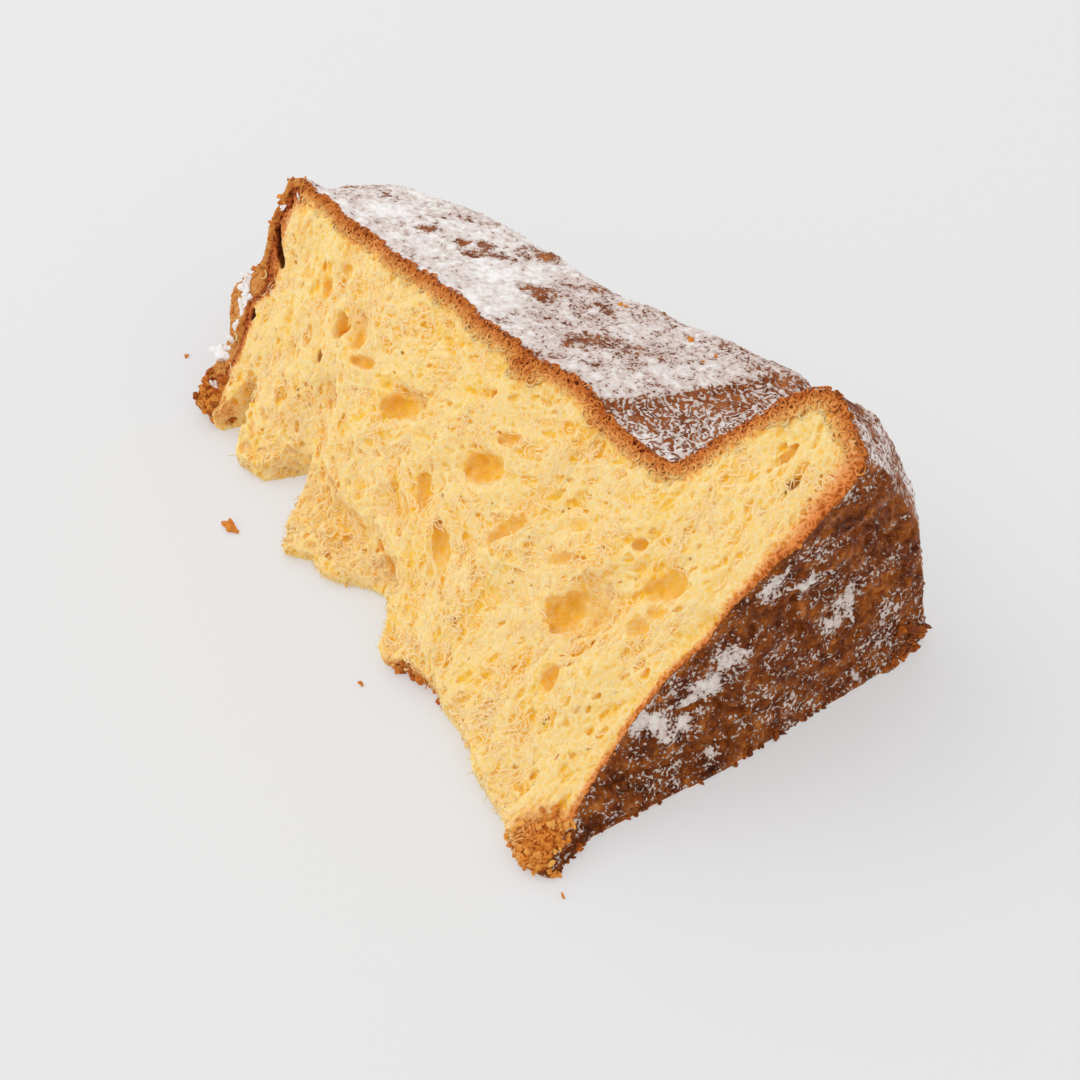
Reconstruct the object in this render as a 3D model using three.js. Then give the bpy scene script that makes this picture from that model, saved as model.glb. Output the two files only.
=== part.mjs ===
// A slice of pandoro: one star point of the tall cake, cut from valley to valley.
// It lies on its lower cut face, narrow top to -X and broad base to +X, lengths in mm.
// Working frame: the axis of the whole cake runs along X on the ground at y = 0.

import * as THREE from 'three';
import { mergeVertices } from 'three/addons/utils/BufferGeometryUtils.js';

// Whole cake
const SLICE_ANGLE = THREE.MathUtils.degToRad(46.5);
const POINT_ANGLE = SLICE_ANGLE / 2;
const TOP_RIM_X = -4.5;
const BASE_RIM_X = 176;
const BASE_CENTRE_X = 181;
const TOP_DENT = 17;
const TOP_DENT_RADIUS = 58;
const TOP_DENT_POWER = 1.2;

// Star: radius of a valley and of a point at x = 0, and how fast each flares
const VALLEY_RADIUS = 64.5;
const VALLEY_FLARE = 0.106;
const POINT_RADIUS = 84;
const POINT_FLARE = 0.24;
const POINT_ROUNDING = 9;
const SWELL = { x: 24, width: 36, height: 2 };
const HOLLOW = { x: 88, width: 40, height: -2.2 };
const TOP_EDGE_ROUNDING = 8;
const TOP_EDGE_DROP = 3;

// Base: dough that rose over the edge of the tin, with a ledge above each valley
const DOME_START_X = 140;
const DOME_RADIUS = 117.5;
const RIM_RADIUS = 103.8;
const DOME_POWER = 2.2;
const LEDGE_X = 147.3;
const LEDGE_RADIUS = 80;
const LEDGE_SLOPE = 2.2;
const LEDGE_BLEND = 5;
const RIM_BLEND = 14;
const BASE_CURVE_POWER = 2.4;

// Line round the flank where the crust steps in above the base
const HOOP_X_AT_POINT = 131;
const HOOP_X_AT_VALLEY = 119;
const HOOP_STEP = 1.8;
const HOOP_WIDTH = 3;
const NOTCH = { x: 134, width: 4, height: -2.4 };
const RIDGE_LIP = { x: 129.5, width: 7, height: 2.2 };
const RIDGE_POWER = 4;

// Torn edge along the axis: thickness of the edge and its tongues and notches
const EDGE_THICKNESS = 4.2;
const EDGE_BLEND = 8;
const EDGE_UNDERCUT = 1.5;
const EDGE_BULGE = 0.8;
const EDGE_LINE = 3;
const TEARS = [
  { x: 30.5, width: 7.5, depth: 13 },
  { x: 38, width: 6, depth: -1 },
  { x: 55, width: 9.5, depth: 12 },
  { x: 70.5, width: 9, depth: -6.5 },
  { x: 82, width: 9, depth: -2.5 },
  { x: 100, width: 13, depth: 6 },
  { x: 116, width: 7, depth: -3 },
  { x: 131, width: 6, depth: 1.5 },
  { x: 164, width: 22, depth: -4 },
  { x: 177, width: 9, depth: -3.5 },
];

// Holes pulled open in the crumb, placed by x and by radius on the cut face
const HOLES = [
  { x: 73.5, r: 45, length: 9, width: 6, depth: 5 },
  { x: 105.5, r: 48.5, length: 7, width: 5.5, depth: 4.5 },
  { x: 45, r: 49.5, length: 7, width: 4.5, depth: 4.5 },
  { x: 150.5, r: 44, length: 7.5, width: 10, depth: 5.5 },
  { x: 164, r: 59.5, length: 5, width: 8, depth: 4 },
  { x: 89, r: 26, length: 10, width: 4.5, depth: 4 },
  { x: 97, r: 13, length: 7, width: 5, depth: 4 },
  { x: 66, r: 26, length: 5, width: 7, depth: 3 },
];

// Crumb that came away with the neighbouring slice: the tongues lie lower than the rest
const SINK_DEPTH = 3.6;
const SINK_START_X = 50;
const SINK_END_X = 112;
const SINK_TOP_RADIUS = 38;
const SINK_LOW_RADIUS = 20;
const SINK_BLEND = 6;
const SINK_FADE = 14;

// Crust that curled out at the corner of the top, with crags and notches below it, the crumbly tip
// of the base, and the base itself, which swelled at its upper corner and sank in beside the crumb:
// the middle of each, how far round it the shape is moved, and by how much
const CURLS = [
  { x: -4, y: 35.8, z: 37.7, reach: 14, move: new THREE.Vector3(-1.4, 0, 0) },
  { x: -3, y: 43.4, z: 45.7, reach: 9, move: new THREE.Vector3(-1.2, 2, 2.1) },
  { x: -1, y: 29.6, z: 31.2, reach: 9, move: new THREE.Vector3(2.9, 0, 0) },
  { x: 0, y: 22.4, z: 23.6, reach: 5, move: new THREE.Vector3(-2.6, 0, 0) },
  { x: 6, y: 14.4, z: 15.2, reach: 9, move: new THREE.Vector3(3.2, 0, 0) },
  { x: 9, y: 8.6, z: 9, reach: 5, move: new THREE.Vector3(3, 0, 0) },
  { x: 12, y: 3, z: 5, reach: 9, move: new THREE.Vector3(2.8, 0, 0) },
  { x: 180, y: 1, z: 2, reach: 11, move: new THREE.Vector3(3.8, -2.2, 0) },
  { x: 190, y: 70.5, z: 74.3, reach: 40, move: new THREE.Vector3(8.2, 0, 0) },
  { x: 192, y: 18, z: 30, reach: 42, move: new THREE.Vector3(-5, 0, 0) },
];

// Relief of crumb and crust
const RELIEF_REACH = 4;
const CRUMB_RELIEF = 1.5;
const CRUMB_WAVE = 9;
const CRUMB_STRETCH = 1.5;
const CRUMB_PULL = 7;
const CRUMB_PULL_WAVE = 26;
const CRUST_RELIEF = 1.1;
const CRUST_WAVE = 11;
const BASE_RELIEF = 1;
const BASE_WAVE = 8;
const TOP_RELIEF = 1.9;
const TOP_WAVE = 9;
const FINE_SHARE = 0.45;
const FINE_RATIO = 2.1;
const LEAST_HEIGHT_SHARE = 0.35;

// Facets
const ROW_STEP = 3.1;
const BASE_ROW_STEP = 2.2;
const BASE_ROWS_X = 148;
const CUT_COLUMNS = 25;
const GROUND_COLUMNS = 9;
const FLANK_COLUMNS = 34;
const EDGE_COLUMNS = 3;
const WELD = 1e-4;
const SEED = 31;

const CRUMB_COLOUR = 0xe8c06a;
const CRUMB_ROUGHNESS = 0.9;

const cutSine = Math.sin(SLICE_ANGLE);
const cutCosine = Math.cos(SLICE_ANGLE);
const cutTangent = Math.tan(SLICE_ANGLE);

// Seeded smooth noise, from -1 to 1
const HASH_X = 374761393;
const HASH_Y = 668265263;
const HASH_Z = 2147483647;
const HASH_SEED = 1274126177;
const HASH_RANGE = 4294967295;
const FIRST_SHIFT = 13;
const SECOND_SHIFT = 16;

function lattice(i, j, k) {
  let h = Math.imul(i, HASH_X) + Math.imul(j, HASH_Y);
  h += Math.imul(k, HASH_Z) + Math.imul(SEED, HASH_SEED);
  h = Math.imul(h ^ (h >>> FIRST_SHIFT), HASH_SEED);
  h ^= h >>> SECOND_SHIFT;
  return ((h >>> 0) / HASH_RANGE) * 2 - 1;
}

function ease(t) {
  return t * t * (3 - 2 * t);
}

function noise(x, y, z) {
  const i = Math.floor(x);
  const j = Math.floor(y);
  const k = Math.floor(z);
  const u = ease(x - i);
  const v = ease(y - j);
  const w = ease(z - k);
  let sum = 0;
  for (let a = 0; a < 2; a += 1) {
    for (let b = 0; b < 2; b += 1) {
      for (let c = 0; c < 2; c += 1) {
        const share = (a ? u : 1 - u) * (b ? v : 1 - v) * (c ? w : 1 - w);
        sum += share * lattice(i + a, j + b, k + c);
      }
    }
  }
  return sum;
}

// Two octaves of noise at a wavelength given in mm
function rough(p, wave) {
  const coarse = noise(p.x / wave, p.y / wave, p.z / wave);
  const fineWave = wave / FINE_RATIO;
  const fine = noise(p.x / fineWave, p.y / fineWave, p.z / fineWave);
  return coarse + FINE_SHARE * fine;
}

function step(from, to, value) {
  return ease(THREE.MathUtils.clamp((value - from) / (to - from), 0, 1));
}

function bump(t) {
  return Math.abs(t) < 1 ? (1 - t * t) ** 2 : 0;
}

function smoothMax(a, b, blend) {
  const h = Math.max(blend - Math.abs(a - b), 0) / blend;
  return Math.max(a, b) + (h * h * blend) / 4;
}

function smoothMin(a, b, blend) {
  return -smoothMax(-a, -b, blend);
}

// Radius of one star point: two straight flanks meeting in a rounded ridge
function starRadius(x, angle) {
  const off = Math.abs(angle - POINT_ANGLE);
  const valley = VALLEY_RADIUS + VALLEY_FLARE * x;
  let ridge = POINT_RADIUS + POINT_FLARE * x;
  for (const wave of [SWELL, HOLLOW]) {
    ridge += wave.height * bump((x - wave.x) / wave.width);
  }
  const valleyAlong = valley * Math.cos(POINT_ANGLE);
  const valleyAcross = valley * Math.sin(POINT_ANGLE);
  const halfTip = Math.atan2(valleyAcross, ridge - valleyAlong);
  const sharp = ridge + POINT_ROUNDING * (1 / Math.sin(halfTip) - 1);
  const flankTip = Math.atan2(valleyAcross, sharp - valleyAlong);
  const flank = (sharp * Math.sin(flankTip)) / Math.sin(flankTip + off);
  const arcCentre = sharp - POINT_ROUNDING / Math.sin(flankTip);
  const reach = arcCentre * Math.sin(off);
  if (reach >= POINT_ROUNDING) {
    return flank;
  }
  const onArc = arcCentre * Math.cos(off) + Math.sqrt(POINT_ROUNDING ** 2 - reach ** 2);
  const touchAcross = POINT_ROUNDING * Math.cos(flankTip);
  const touch = Math.atan2(touchAcross, arcCentre + POINT_ROUNDING * Math.sin(flankTip));
  return off < touch ? onArc : flank;
}

// How near an angle is to the ridge of the point: 1 on the ridge, 0 in a valley
function pointShare(angle) {
  return 1 - Math.abs(angle - POINT_ANGLE) / POINT_ANGLE;
}

function domeRadius(x) {
  const t = Math.max(x - DOME_START_X, 0) / (BASE_RIM_X - DOME_START_X);
  return DOME_RADIUS - (DOME_RADIUS - RIM_RADIUS) * t ** DOME_POWER;
}

// Radius of the crust at a place along the cake and an angle round it
function crustRadius(x, angle) {
  const share = pointShare(angle);
  const hoop = HOOP_X_AT_VALLEY + (HOOP_X_AT_POINT - HOOP_X_AT_VALLEY) * share;
  let star = starRadius(x, angle);
  star -= HOOP_STEP * step(hoop, hoop + HOOP_WIDTH, x);
  for (const form of [NOTCH, RIDGE_LIP]) {
    star += form.height * share ** RIDGE_POWER * bump((x - form.x) / form.width);
  }
  const edge = Math.max(1 - (x - TOP_RIM_X) / TOP_EDGE_ROUNDING, 0);
  star -= TOP_EDGE_DROP * edge * edge;
  const ledge = LEDGE_RADIUS + LEDGE_SLOPE * (x - LEDGE_X);
  return smoothMin(smoothMax(star, ledge, LEDGE_BLEND), domeRadius(x), RIM_BLEND);
}

// The dented top and the slightly domed base, as x by radius
function topX(radius) {
  return TOP_RIM_X + TOP_DENT * Math.max(1 - radius / TOP_DENT_RADIUS, 0) ** TOP_DENT_POWER;
}

function baseX(radius) {
  const t = Math.max(radius, 0) / RIM_RADIUS;
  return BASE_CENTRE_X - (BASE_CENTRE_X - BASE_RIM_X) * t ** BASE_CURVE_POWER;
}

// x of a row of the cake at a radius; rows are named by their x at the crust
function rowX(crustX, radius) {
  const along = (crustX - TOP_RIM_X) / (BASE_RIM_X - TOP_RIM_X);
  return topX(radius) + along * (baseX(radius) - topX(radius));
}

// Where the torn edge lies, as y by x
function tornY(x) {
  let y = EDGE_LINE;
  for (const tear of TEARS) {
    y += tear.depth * bump((x - tear.x) / tear.width);
  }
  return y;
}

function polar(x, radius, angle) {
  return new THREE.Vector3(x, radius * Math.cos(angle), radius * Math.sin(angle));
}

function crustPoint(crustX, angle) {
  return polar(crustX, crustRadius(crustX, angle), angle);
}

// A point of the upper cut face: 0 at the crust, 1 at the torn edge
function cutPoint(crustX, share) {
  const radius = crustRadius(crustX, SLICE_ANGLE);
  const crustY = radius * cutCosine;
  const edgeX = rowX(crustX, EDGE_LINE);
  const y = crustY + share * (tornY(edgeX) - crustY);
  const x = share === 0 ? crustX : rowX(crustX, (y / crustY) * radius);
  const z = share === 0 ? radius * cutSine : smoothMax(y * cutTangent, EDGE_THICKNESS, EDGE_BLEND);
  return new THREE.Vector3(x, y, z);
}

// A point of the lower cut face, flat on the ground
function groundPoint(crustX, share) {
  const crust = crustPoint(crustX, 0);
  const edge = cutPoint(crustX, 1);
  const y = crust.y + share * (edge.y + EDGE_UNDERCUT - crust.y);
  return new THREE.Vector3(share === 0 ? crustX : rowX(crustX, y), y, 0);
}

// A point of the torn edge itself: 0 on the ground, 1 at the upper cut face
function edgePoint(crustX, share) {
  const low = groundPoint(crustX, 1);
  const high = cutPoint(crustX, 1);
  const point = low.lerp(high, share);
  point.y -= EDGE_BULGE * 4 * share * (1 - share);
  return point;
}

// Depth of the relief pulled into the upper cut face
function cutRelief(x, radius) {
  const pull = CRUMB_PULL * noise(x / CRUMB_PULL_WAVE, radius / CRUMB_PULL_WAVE, 0);
  const along = new THREE.Vector3(x + pull, radius / CRUMB_STRETCH, 0);
  let height = CRUMB_RELIEF * rough(along, CRUMB_WAVE);
  for (const hole of HOLES) {
    const across = (x - hole.x) / hole.length;
    const outward = (radius - hole.r) / hole.width;
    height -= hole.depth * bump(Math.min(Math.hypot(across, outward), 1));
  }
  const fall = step(SINK_START_X, SINK_START_X + SINK_FADE, x);
  const line = SINK_TOP_RADIUS + fall * (SINK_LOW_RADIUS - SINK_TOP_RADIUS);
  const begun = step(SINK_START_X - SINK_FADE, SINK_START_X, x);
  const ended = step(SINK_END_X - SINK_FADE, SINK_END_X, x);
  const offEdge = step(0, SINK_FADE, radius);
  const below = 1 - step(line - SINK_BLEND, line, radius);
  height -= SINK_DEPTH * begun * (1 - ended) * offEdge * below;
  return height;
}

function nearness(distance) {
  return Math.exp(-((distance / RELIEF_REACH) ** 2));
}

// Moves a point of the plain shape by the relief of every face it is near
function withRelief(plain) {
  const radius = Math.hypot(plain.y, plain.z);
  const angle = Math.atan2(plain.z, plain.y);
  const moved = plain.clone();
  const toCut = plain.y * cutSine - plain.z * cutCosine;
  const cutRadius = plain.y * cutCosine + plain.z * cutSine;
  const onCut = nearness(Math.max(toCut, 0)) * cutRelief(plain.x, cutRadius);
  moved.y -= onCut * cutSine;
  moved.z += onCut * cutCosine;
  const outside = crustRadius(THREE.MathUtils.clamp(plain.x, TOP_RIM_X, BASE_RIM_X), angle) - radius;
  const onCrust = nearness(outside) * CRUST_RELIEF * rough(plain, CRUST_WAVE);
  moved.y += onCrust * Math.cos(angle);
  moved.z += onCrust * Math.sin(angle);
  moved.x += nearness(baseX(radius) - plain.x) * BASE_RELIEF * rough(plain, BASE_WAVE);
  moved.x += nearness(plain.x - topX(radius)) * TOP_RELIEF * rough(plain, TOP_WAVE);
  for (const curl of CURLS) {
    const away = Math.hypot(plain.x - curl.x, plain.y - curl.y, plain.z - curl.z);
    moved.addScaledVector(curl.move, bump(away / curl.reach));
  }
  moved.z = plain.z === 0 ? 0 : Math.max(moved.z, plain.z * LEAST_HEIGHT_SHARE);
  return moved;
}

// Rows along the cake, closer together where the ledge and the rim are
const rows = [];
for (let x = TOP_RIM_X; x < BASE_ROWS_X; x += ROW_STEP) {
  rows.push(x);
}
for (let x = BASE_ROWS_X + BASE_ROW_STEP; x < BASE_RIM_X - BASE_ROW_STEP / 2; x += BASE_ROW_STEP) {
  rows.push(x);
}
rows.push(BASE_RIM_X);

const corners = [];

function triangle(a, b, c) {
  if (a.distanceTo(b) < WELD || b.distanceTo(c) < WELD || c.distanceTo(a) < WELD) {
    return;
  }
  for (const point of [a, b, c]) {
    const moved = withRelief(point);
    corners.push(moved.x, moved.y, moved.z);
  }
}

// A grid of facets over all rows, for a face given as a function of row and share
function face(pointAt, columns) {
  for (let i = 0; i + 1 < rows.length; i += 1) {
    for (let j = 0; j < columns; j += 1) {
      const a = pointAt(rows[i], j / columns);
      const b = pointAt(rows[i + 1], j / columns);
      const c = pointAt(rows[i + 1], (j + 1) / columns);
      const d = pointAt(rows[i], (j + 1) / columns);
      if ((i + j) % 2 === 0) {
        triangle(a, c, b);
        triangle(a, d, c);
      } else {
        triangle(a, d, b);
        triangle(b, d, c);
      }
    }
  }
}

face((x, share) => crustPoint(x, SLICE_ANGLE * share), FLANK_COLUMNS);
face((x, share) => cutPoint(x, share), CUT_COLUMNS);
face((x, share) => edgePoint(x, 1 - share), EDGE_COLUMNS);
face((x, share) => groundPoint(x, 1 - share), GROUND_COLUMNS);

// An end of the slice: arcs from the crust to the torn edge, with fewer points as they shorten
function endArc(crustX, share, count) {
  const arc = [];
  const groundColumn = Math.floor(GROUND_COLUMNS * share + WELD);
  const low = groundPoint(crustX, groundColumn / GROUND_COLUMNS);
  const high = cutPoint(crustX, share);
  for (let j = 0; j <= count; j += 1) {
    const t = j / count;
    if (share === 0) {
      arc.push(crustPoint(crustX, SLICE_ANGLE * t));
    } else if (share === 1) {
      arc.push(edgePoint(crustX, t));
    } else if (j === 0) {
      arc.push(low);
    } else if (j === count) {
      arc.push(high);
    } else {
      const angle = SLICE_ANGLE * t;
      const full = crustPoint(crustX, angle);
      const inner = edgePoint(crustX, t);
      const point = full.lerp(inner, share);
      point.x = rowX(crustX, Math.hypot(point.y, point.z));
      arc.push(point);
    }
  }
  return arc;
}

// Fills the strip between two arcs, always taking the shorter diagonal
function fillStrip(outer, inner, flip) {
  let i = 0;
  let j = 0;
  while (i + 1 < outer.length || j + 1 < inner.length) {
    const canOuter = i + 1 < outer.length;
    const canInner = j + 1 < inner.length;
    const outerNext = (i + 1) / (outer.length - 1);
    const innerNext = (j + 1) / (inner.length - 1);
    const takeOuter = canOuter && (!canInner || outerNext <= innerNext);
    const a = outer[i];
    const b = takeOuter ? outer[i + 1] : inner[j + 1];
    const c = inner[j];
    if (flip) {
      triangle(a, c, b);
    } else {
      triangle(a, b, c);
    }
    if (takeOuter) {
      i += 1;
    } else {
      j += 1;
    }
  }
}

// The lower cut face has fewer columns than the upper, so some arcs share their lower end
function end(crustX, flip) {
  let outer = endArc(crustX, 0, FLANK_COLUMNS);
  for (let k = 1; k <= CUT_COLUMNS; k += 1) {
    const share = k / CUT_COLUMNS;
    const count = Math.max(EDGE_COLUMNS, Math.round(FLANK_COLUMNS * (1 - share)));
    const inner = endArc(crustX, share, k === CUT_COLUMNS ? EDGE_COLUMNS : count);
    fillStrip(outer, inner, flip);
    outer = inner;
  }
}

end(BASE_RIM_X, false);
end(TOP_RIM_X, true);

const soup = new THREE.BufferGeometry();
soup.setAttribute('position', new THREE.Float32BufferAttribute(corners, 3));
const slice = mergeVertices(soup, WELD);

// Origin under the middle of the slice, on the ground
slice.computeBoundingBox();
const middle = slice.boundingBox.getCenter(new THREE.Vector3());
slice.translate(-middle.x, -middle.y, -slice.boundingBox.min.z);
slice.computeVertexNormals();

const crumb = new THREE.MeshStandardMaterial({
  color: CRUMB_COLOUR,
  roughness: CRUMB_ROUGHNESS,
  metalness: 0,
});

const pandoroSlice = new THREE.Mesh(slice, crumb);
pandoroSlice.name = 'pandoro_slice';

const part = new THREE.Group();
part.name = 'pandoro';
part.add(pandoroSlice);

export default part;
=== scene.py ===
import math

import bmesh
import bpy
import numpy as np
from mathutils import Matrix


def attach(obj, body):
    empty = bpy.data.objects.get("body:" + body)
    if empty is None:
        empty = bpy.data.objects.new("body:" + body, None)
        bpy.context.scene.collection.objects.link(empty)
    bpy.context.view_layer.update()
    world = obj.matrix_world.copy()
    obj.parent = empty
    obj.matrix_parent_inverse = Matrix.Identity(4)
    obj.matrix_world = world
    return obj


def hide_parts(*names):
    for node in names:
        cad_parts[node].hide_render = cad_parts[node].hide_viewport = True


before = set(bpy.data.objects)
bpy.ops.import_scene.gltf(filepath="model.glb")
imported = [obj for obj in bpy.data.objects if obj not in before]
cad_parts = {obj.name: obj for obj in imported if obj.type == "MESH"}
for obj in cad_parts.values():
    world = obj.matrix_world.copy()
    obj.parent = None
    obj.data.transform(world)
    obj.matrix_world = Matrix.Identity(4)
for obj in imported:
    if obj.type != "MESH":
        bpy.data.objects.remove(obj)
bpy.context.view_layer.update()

import openvdb
from mathutils import Vector


# The slice is one star point of a tall, sweet yeast cake, cut from valley to valley and torn along its
# middle. It was baked as one loaf, so all its skins come from one block: the solid's depth on a fine
# grid of cells.
GRAIN = 0.42                    # mm, one cell of the block
REACH = 16                      # cells on each side of the skin whose depth is known
COARSE_GRAIN, COARSE_REACH = 0.8, 14            # mm and cells, of the blocks that tell how far each skin is
LOAF_AXIS = np.array([-88.6986, -53.0876, 0.0])     # mm, where the loaf's axis starts in the part's frame
SLICE_ANGLE = math.radians(46.5)
VALLEY_RADIUS, VALLEY_FLARE = 64.5, 0.106       # mm from the axis to the valley of the star, and its growth
LEDGE_X, LEDGE_RADIUS, LEDGE_SLOPE = 147.3, 80.0, 2.2       # mm, the step where the base swells out

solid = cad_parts["pandoro_slice"].data
corners = np.empty(len(solid.vertices) * 3, np.float32)
solid.vertices.foreach_get("co", corners)
corners = corners.reshape(-1, 3) * 1000 - LOAF_AXIS
solid.calc_loop_triangles()
faces = np.empty(len(solid.loop_triangles) * 3, np.int32)
solid.loop_triangles.foreach_get("vertices", faces)
faces = faces.reshape(-1, 3)


def depth_block(chosen, grain, reach):
    """Depth in mm on a grid of cells, below (minus) and above the chosen faces of the solid."""
    grid = openvdb.FloatGrid.createLevelSetFromPolygons(
        corners, triangles=chosen.astype(np.uint32),
        transform=openvdb.createLinearTransform(voxelSize=grain), halfWidth=reach)
    low, high = (np.array(end) for end in grid.evalActiveVoxelBoundingBox())
    low, high = low - 2, high + 2
    cells = np.empty(high - low + 1, np.float32)
    grid.copyToArray(cells, ijk=tuple(int(n) for n in low))
    return cells, low, grain


def read(block, at):
    """Depth of a block at points in mm, read between its cells."""
    cells, low, grain = block
    place = np.clip(at / grain - low, 0, np.array(cells.shape) - 1.001)
    cell = place.astype(np.int32)
    part = (place - cell).astype(np.float32)
    total = np.zeros(len(at), np.float32)
    for step in np.ndindex(2, 2, 2):
        share = np.prod(np.where(step, part, 1 - part), axis=1)
        total += share * cells[tuple((cell + step).T)]
    return total


def rise(low, high, value):
    """A smooth step from 0 at low to 1 at high."""
    part = np.clip((value - low) / (high - low), 0, 1)
    return part * part * (3 - 2 * part)


# Which of the solid's faces are floor side, torn crumb, flank of the star, flat base and narrow top: each
# is told by its place along the axis, and by how far it leans along the axis or out from it.
BASE_FROM, LEDGE_FROM, TOP_TO = 170, 143, 20    # mm along the axis
BASE_LEAN, LEDGE_LEAN, TOP_LEAN, FLANK_LEAN = 0.6, -0.3, -0.45, 0.35        # cosine of the least lean
LEDGE_NEAR = 5                  # mm on either side of the ledge that belong to it
VALLEY_SHARE = 0.9              # of the valley's radius, from where a face can be flank
ON_GROUND = 0.01                # mm
triangle = corners[faces]
facing = np.cross(triangle[:, 1] - triangle[:, 0], triangle[:, 2] - triangle[:, 0])
facing /= np.linalg.norm(facing, axis=1)[:, None]
middle = triangle.mean(axis=1)
radius = np.hypot(middle[:, 1], middle[:, 2])
outward = (facing[:, 1] * middle[:, 1] + facing[:, 2] * middle[:, 2]) / radius
ledge_radius = LEDGE_RADIUS + LEDGE_SLOPE * (middle[:, 0] - LEDGE_X)
is_floor_side = triangle[:, :, 2].max(axis=1) < ON_GROUND
is_base = ~is_floor_side & (facing[:, 0] > BASE_LEAN) & (middle[:, 0] > BASE_FROM)
is_top = ~is_floor_side & (facing[:, 0] < TOP_LEAN) & (middle[:, 0] < TOP_TO)
is_flank = (outward > FLANK_LEAN) & (radius > VALLEY_SHARE * (VALLEY_RADIUS + VALLEY_FLARE * middle[:, 0]))
by_ledge = (np.abs(radius - ledge_radius) < LEDGE_NEAR) & (middle[:, 0] > LEDGE_FROM)
is_flank |= by_ledge & (facing[:, 0] < LEDGE_LEAN)
is_flank &= ~is_floor_side & ~is_base & ~is_top
is_torn = ~(is_floor_side | is_base | is_top | is_flank)

block = depth_block(faces, GRAIN, REACH)
plain = depth_block(faces, COARSE_GRAIN, COARSE_REACH)
from_skin = {
    name: depth_block(faces[chosen], COARSE_GRAIN, COARSE_REACH)
    for name, chosen in {
        "torn": is_torn, "flank": is_flank, "base": is_base, "top": is_top, "floor": is_floor_side}.items()}


# The crumb is open yeast sponge: bubbles of gas with thin walls, round where the cake was left alone and
# drawn out along the pull where it was torn apart. It is carved out of the block from the torn face down.
PORE_REACH, CRACK_REACH = 3.4, 6.3              # mm below the torn face that pores and the crack are cut
BY_NARROW_TOP = 18              # mm along the axis, as far as the crack reaches
PORE_SIZE, FINE_PORE_SIZE, HOLLOW_SIZE, STREAK_SIZE = 2.8, 1.45, 6.0, 11.0      # mm from one to the next
PORE_DEPTH, FINE_PORE_DEPTH, HOLLOW_DEPTH = 0.66, 0.32, 1.0     # mm
WEB_SIZE, WEB_DEPTH = 3.4, 1.5                  # mm, pockets of the tongues that hang at the torn edge
CURL_SIZE, CURL_DEPTH = 1.8, 1.2                # mm, pockets of the browned band by the crust
PULL_STRETCH = 2.3              # how many times longer than wide the pull made the pores
PULL_LEANS = (                  # mm along the axis and out from it, and degrees that the pull leans there
    (30, 45, 122), (50, 20, 122), (72, 44, 30), (90, 62, 30), (104, 50, 25), (95, 32, -39), (108, 25, -40),
    (128, 68, 45), (135, 52, 38), (148, 42, 52), (160, 60, 58), (150, 15, 85), (170, 40, 88), (172, 88, 88))
CUT_ACROSS = np.array([0, math.cos(SLICE_ANGLE), math.sin(SLICE_ANGLE)], np.float32)
CUT_DOWN = np.array([0, math.sin(SLICE_ANGLE), -math.cos(SLICE_ANGLE)], np.float32)
LARGE_BUBBLES = (               # mm along and out from the axis, half sizes and depth, and degrees of lean
    (40.2, 46.2, 3.7, 1.8, 4.2, -45), (46.7, 47.5, 4.8, 2.0, 4.2, -21), (54.4, 44.4, 3.8, 1.7, 2.0, 26),
    (28.2, 50.6, 2.8, 1.5, 2.2, -35), (30.3, 57.4, 1.8, 1.3, 1.6, 0), (41.7, 37.9, 2.4, 1.8, 1.5, -45),
    (72.0, 43.5, 6.0, 3.4, 4.0, 30), (104.1, 48.0, 6.0, 3.4, 4.2, 22), (94.4, 34.3, 5.0, 2.0, 1.8, -39),
    (108.2, 28.7, 6.8, 2.0, 1.8, -38), (121.1, 42.4, 6.3, 2.2, 1.8, 61), (148.0, 41.6, 7.8, 4.6, 4.4, 52),
    (162.3, 58.4, 4.8, 2.7, 3.6, 50), (106.7, 57.1, 3.7, 1.6, 1.4, 33), (114.1, 64.7, 1.9, 1.4, 0.9, 30),
    (95.1, 61.9, 1.3, 1.0, 1.2, 30), (96.5, 15.5, 2.4, 2.0, 6.6, 0), (91.3, 16.8, 2.2, 2.2, 4.0, 0),
    (154.2, 27.8, 2.9, 1.9, 1.8, -59), (146.5, 63.8, 1.6, 1.2, 0.9, 20), (151.7, 61.3, 2.3, 1.4, 1.4, 40),
    (155.1, 58.0, 2.2, 1.4, 1.3, 40), (138.5, 47.6, 6.1, 1.5, 1.5, 34), (134.3, 53.8, 5.5, 1.5, 1.3, 36),
    (165.0, 54.2, 2.6, 1.3, 1.5, 50), (163.9, 49.1, 2.8, 1.8, 1.7, 50), (171.9, 90.2, 3.2, 1.6, 1.2, 80),
    (167.7, 95.7, 3.0, 1.4, 1.0, 85))
CRACKS = (                      # mm along and out from the axis at both ends, and half width
    (-0.3, 51.5, 9.3, 46.2, 1.3), (-2.2, 60.5, 0.0, 58.0, 0.8), (10.6, 32.2, 12.0, 30.6, 0.9))
STRIDES = (73856093, 19349663, 83492791)        # large primes, so that no two cells near each other match


def shuffled(number):
    """Whole numbers mixed so that neighbours have nothing in common."""
    number ^= number >> np.uint32(16)
    number *= np.uint32(2246822519)
    number ^= number >> np.uint32(13)
    number *= np.uint32(3266489917)
    number ^= number >> np.uint32(16)
    return number


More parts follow.
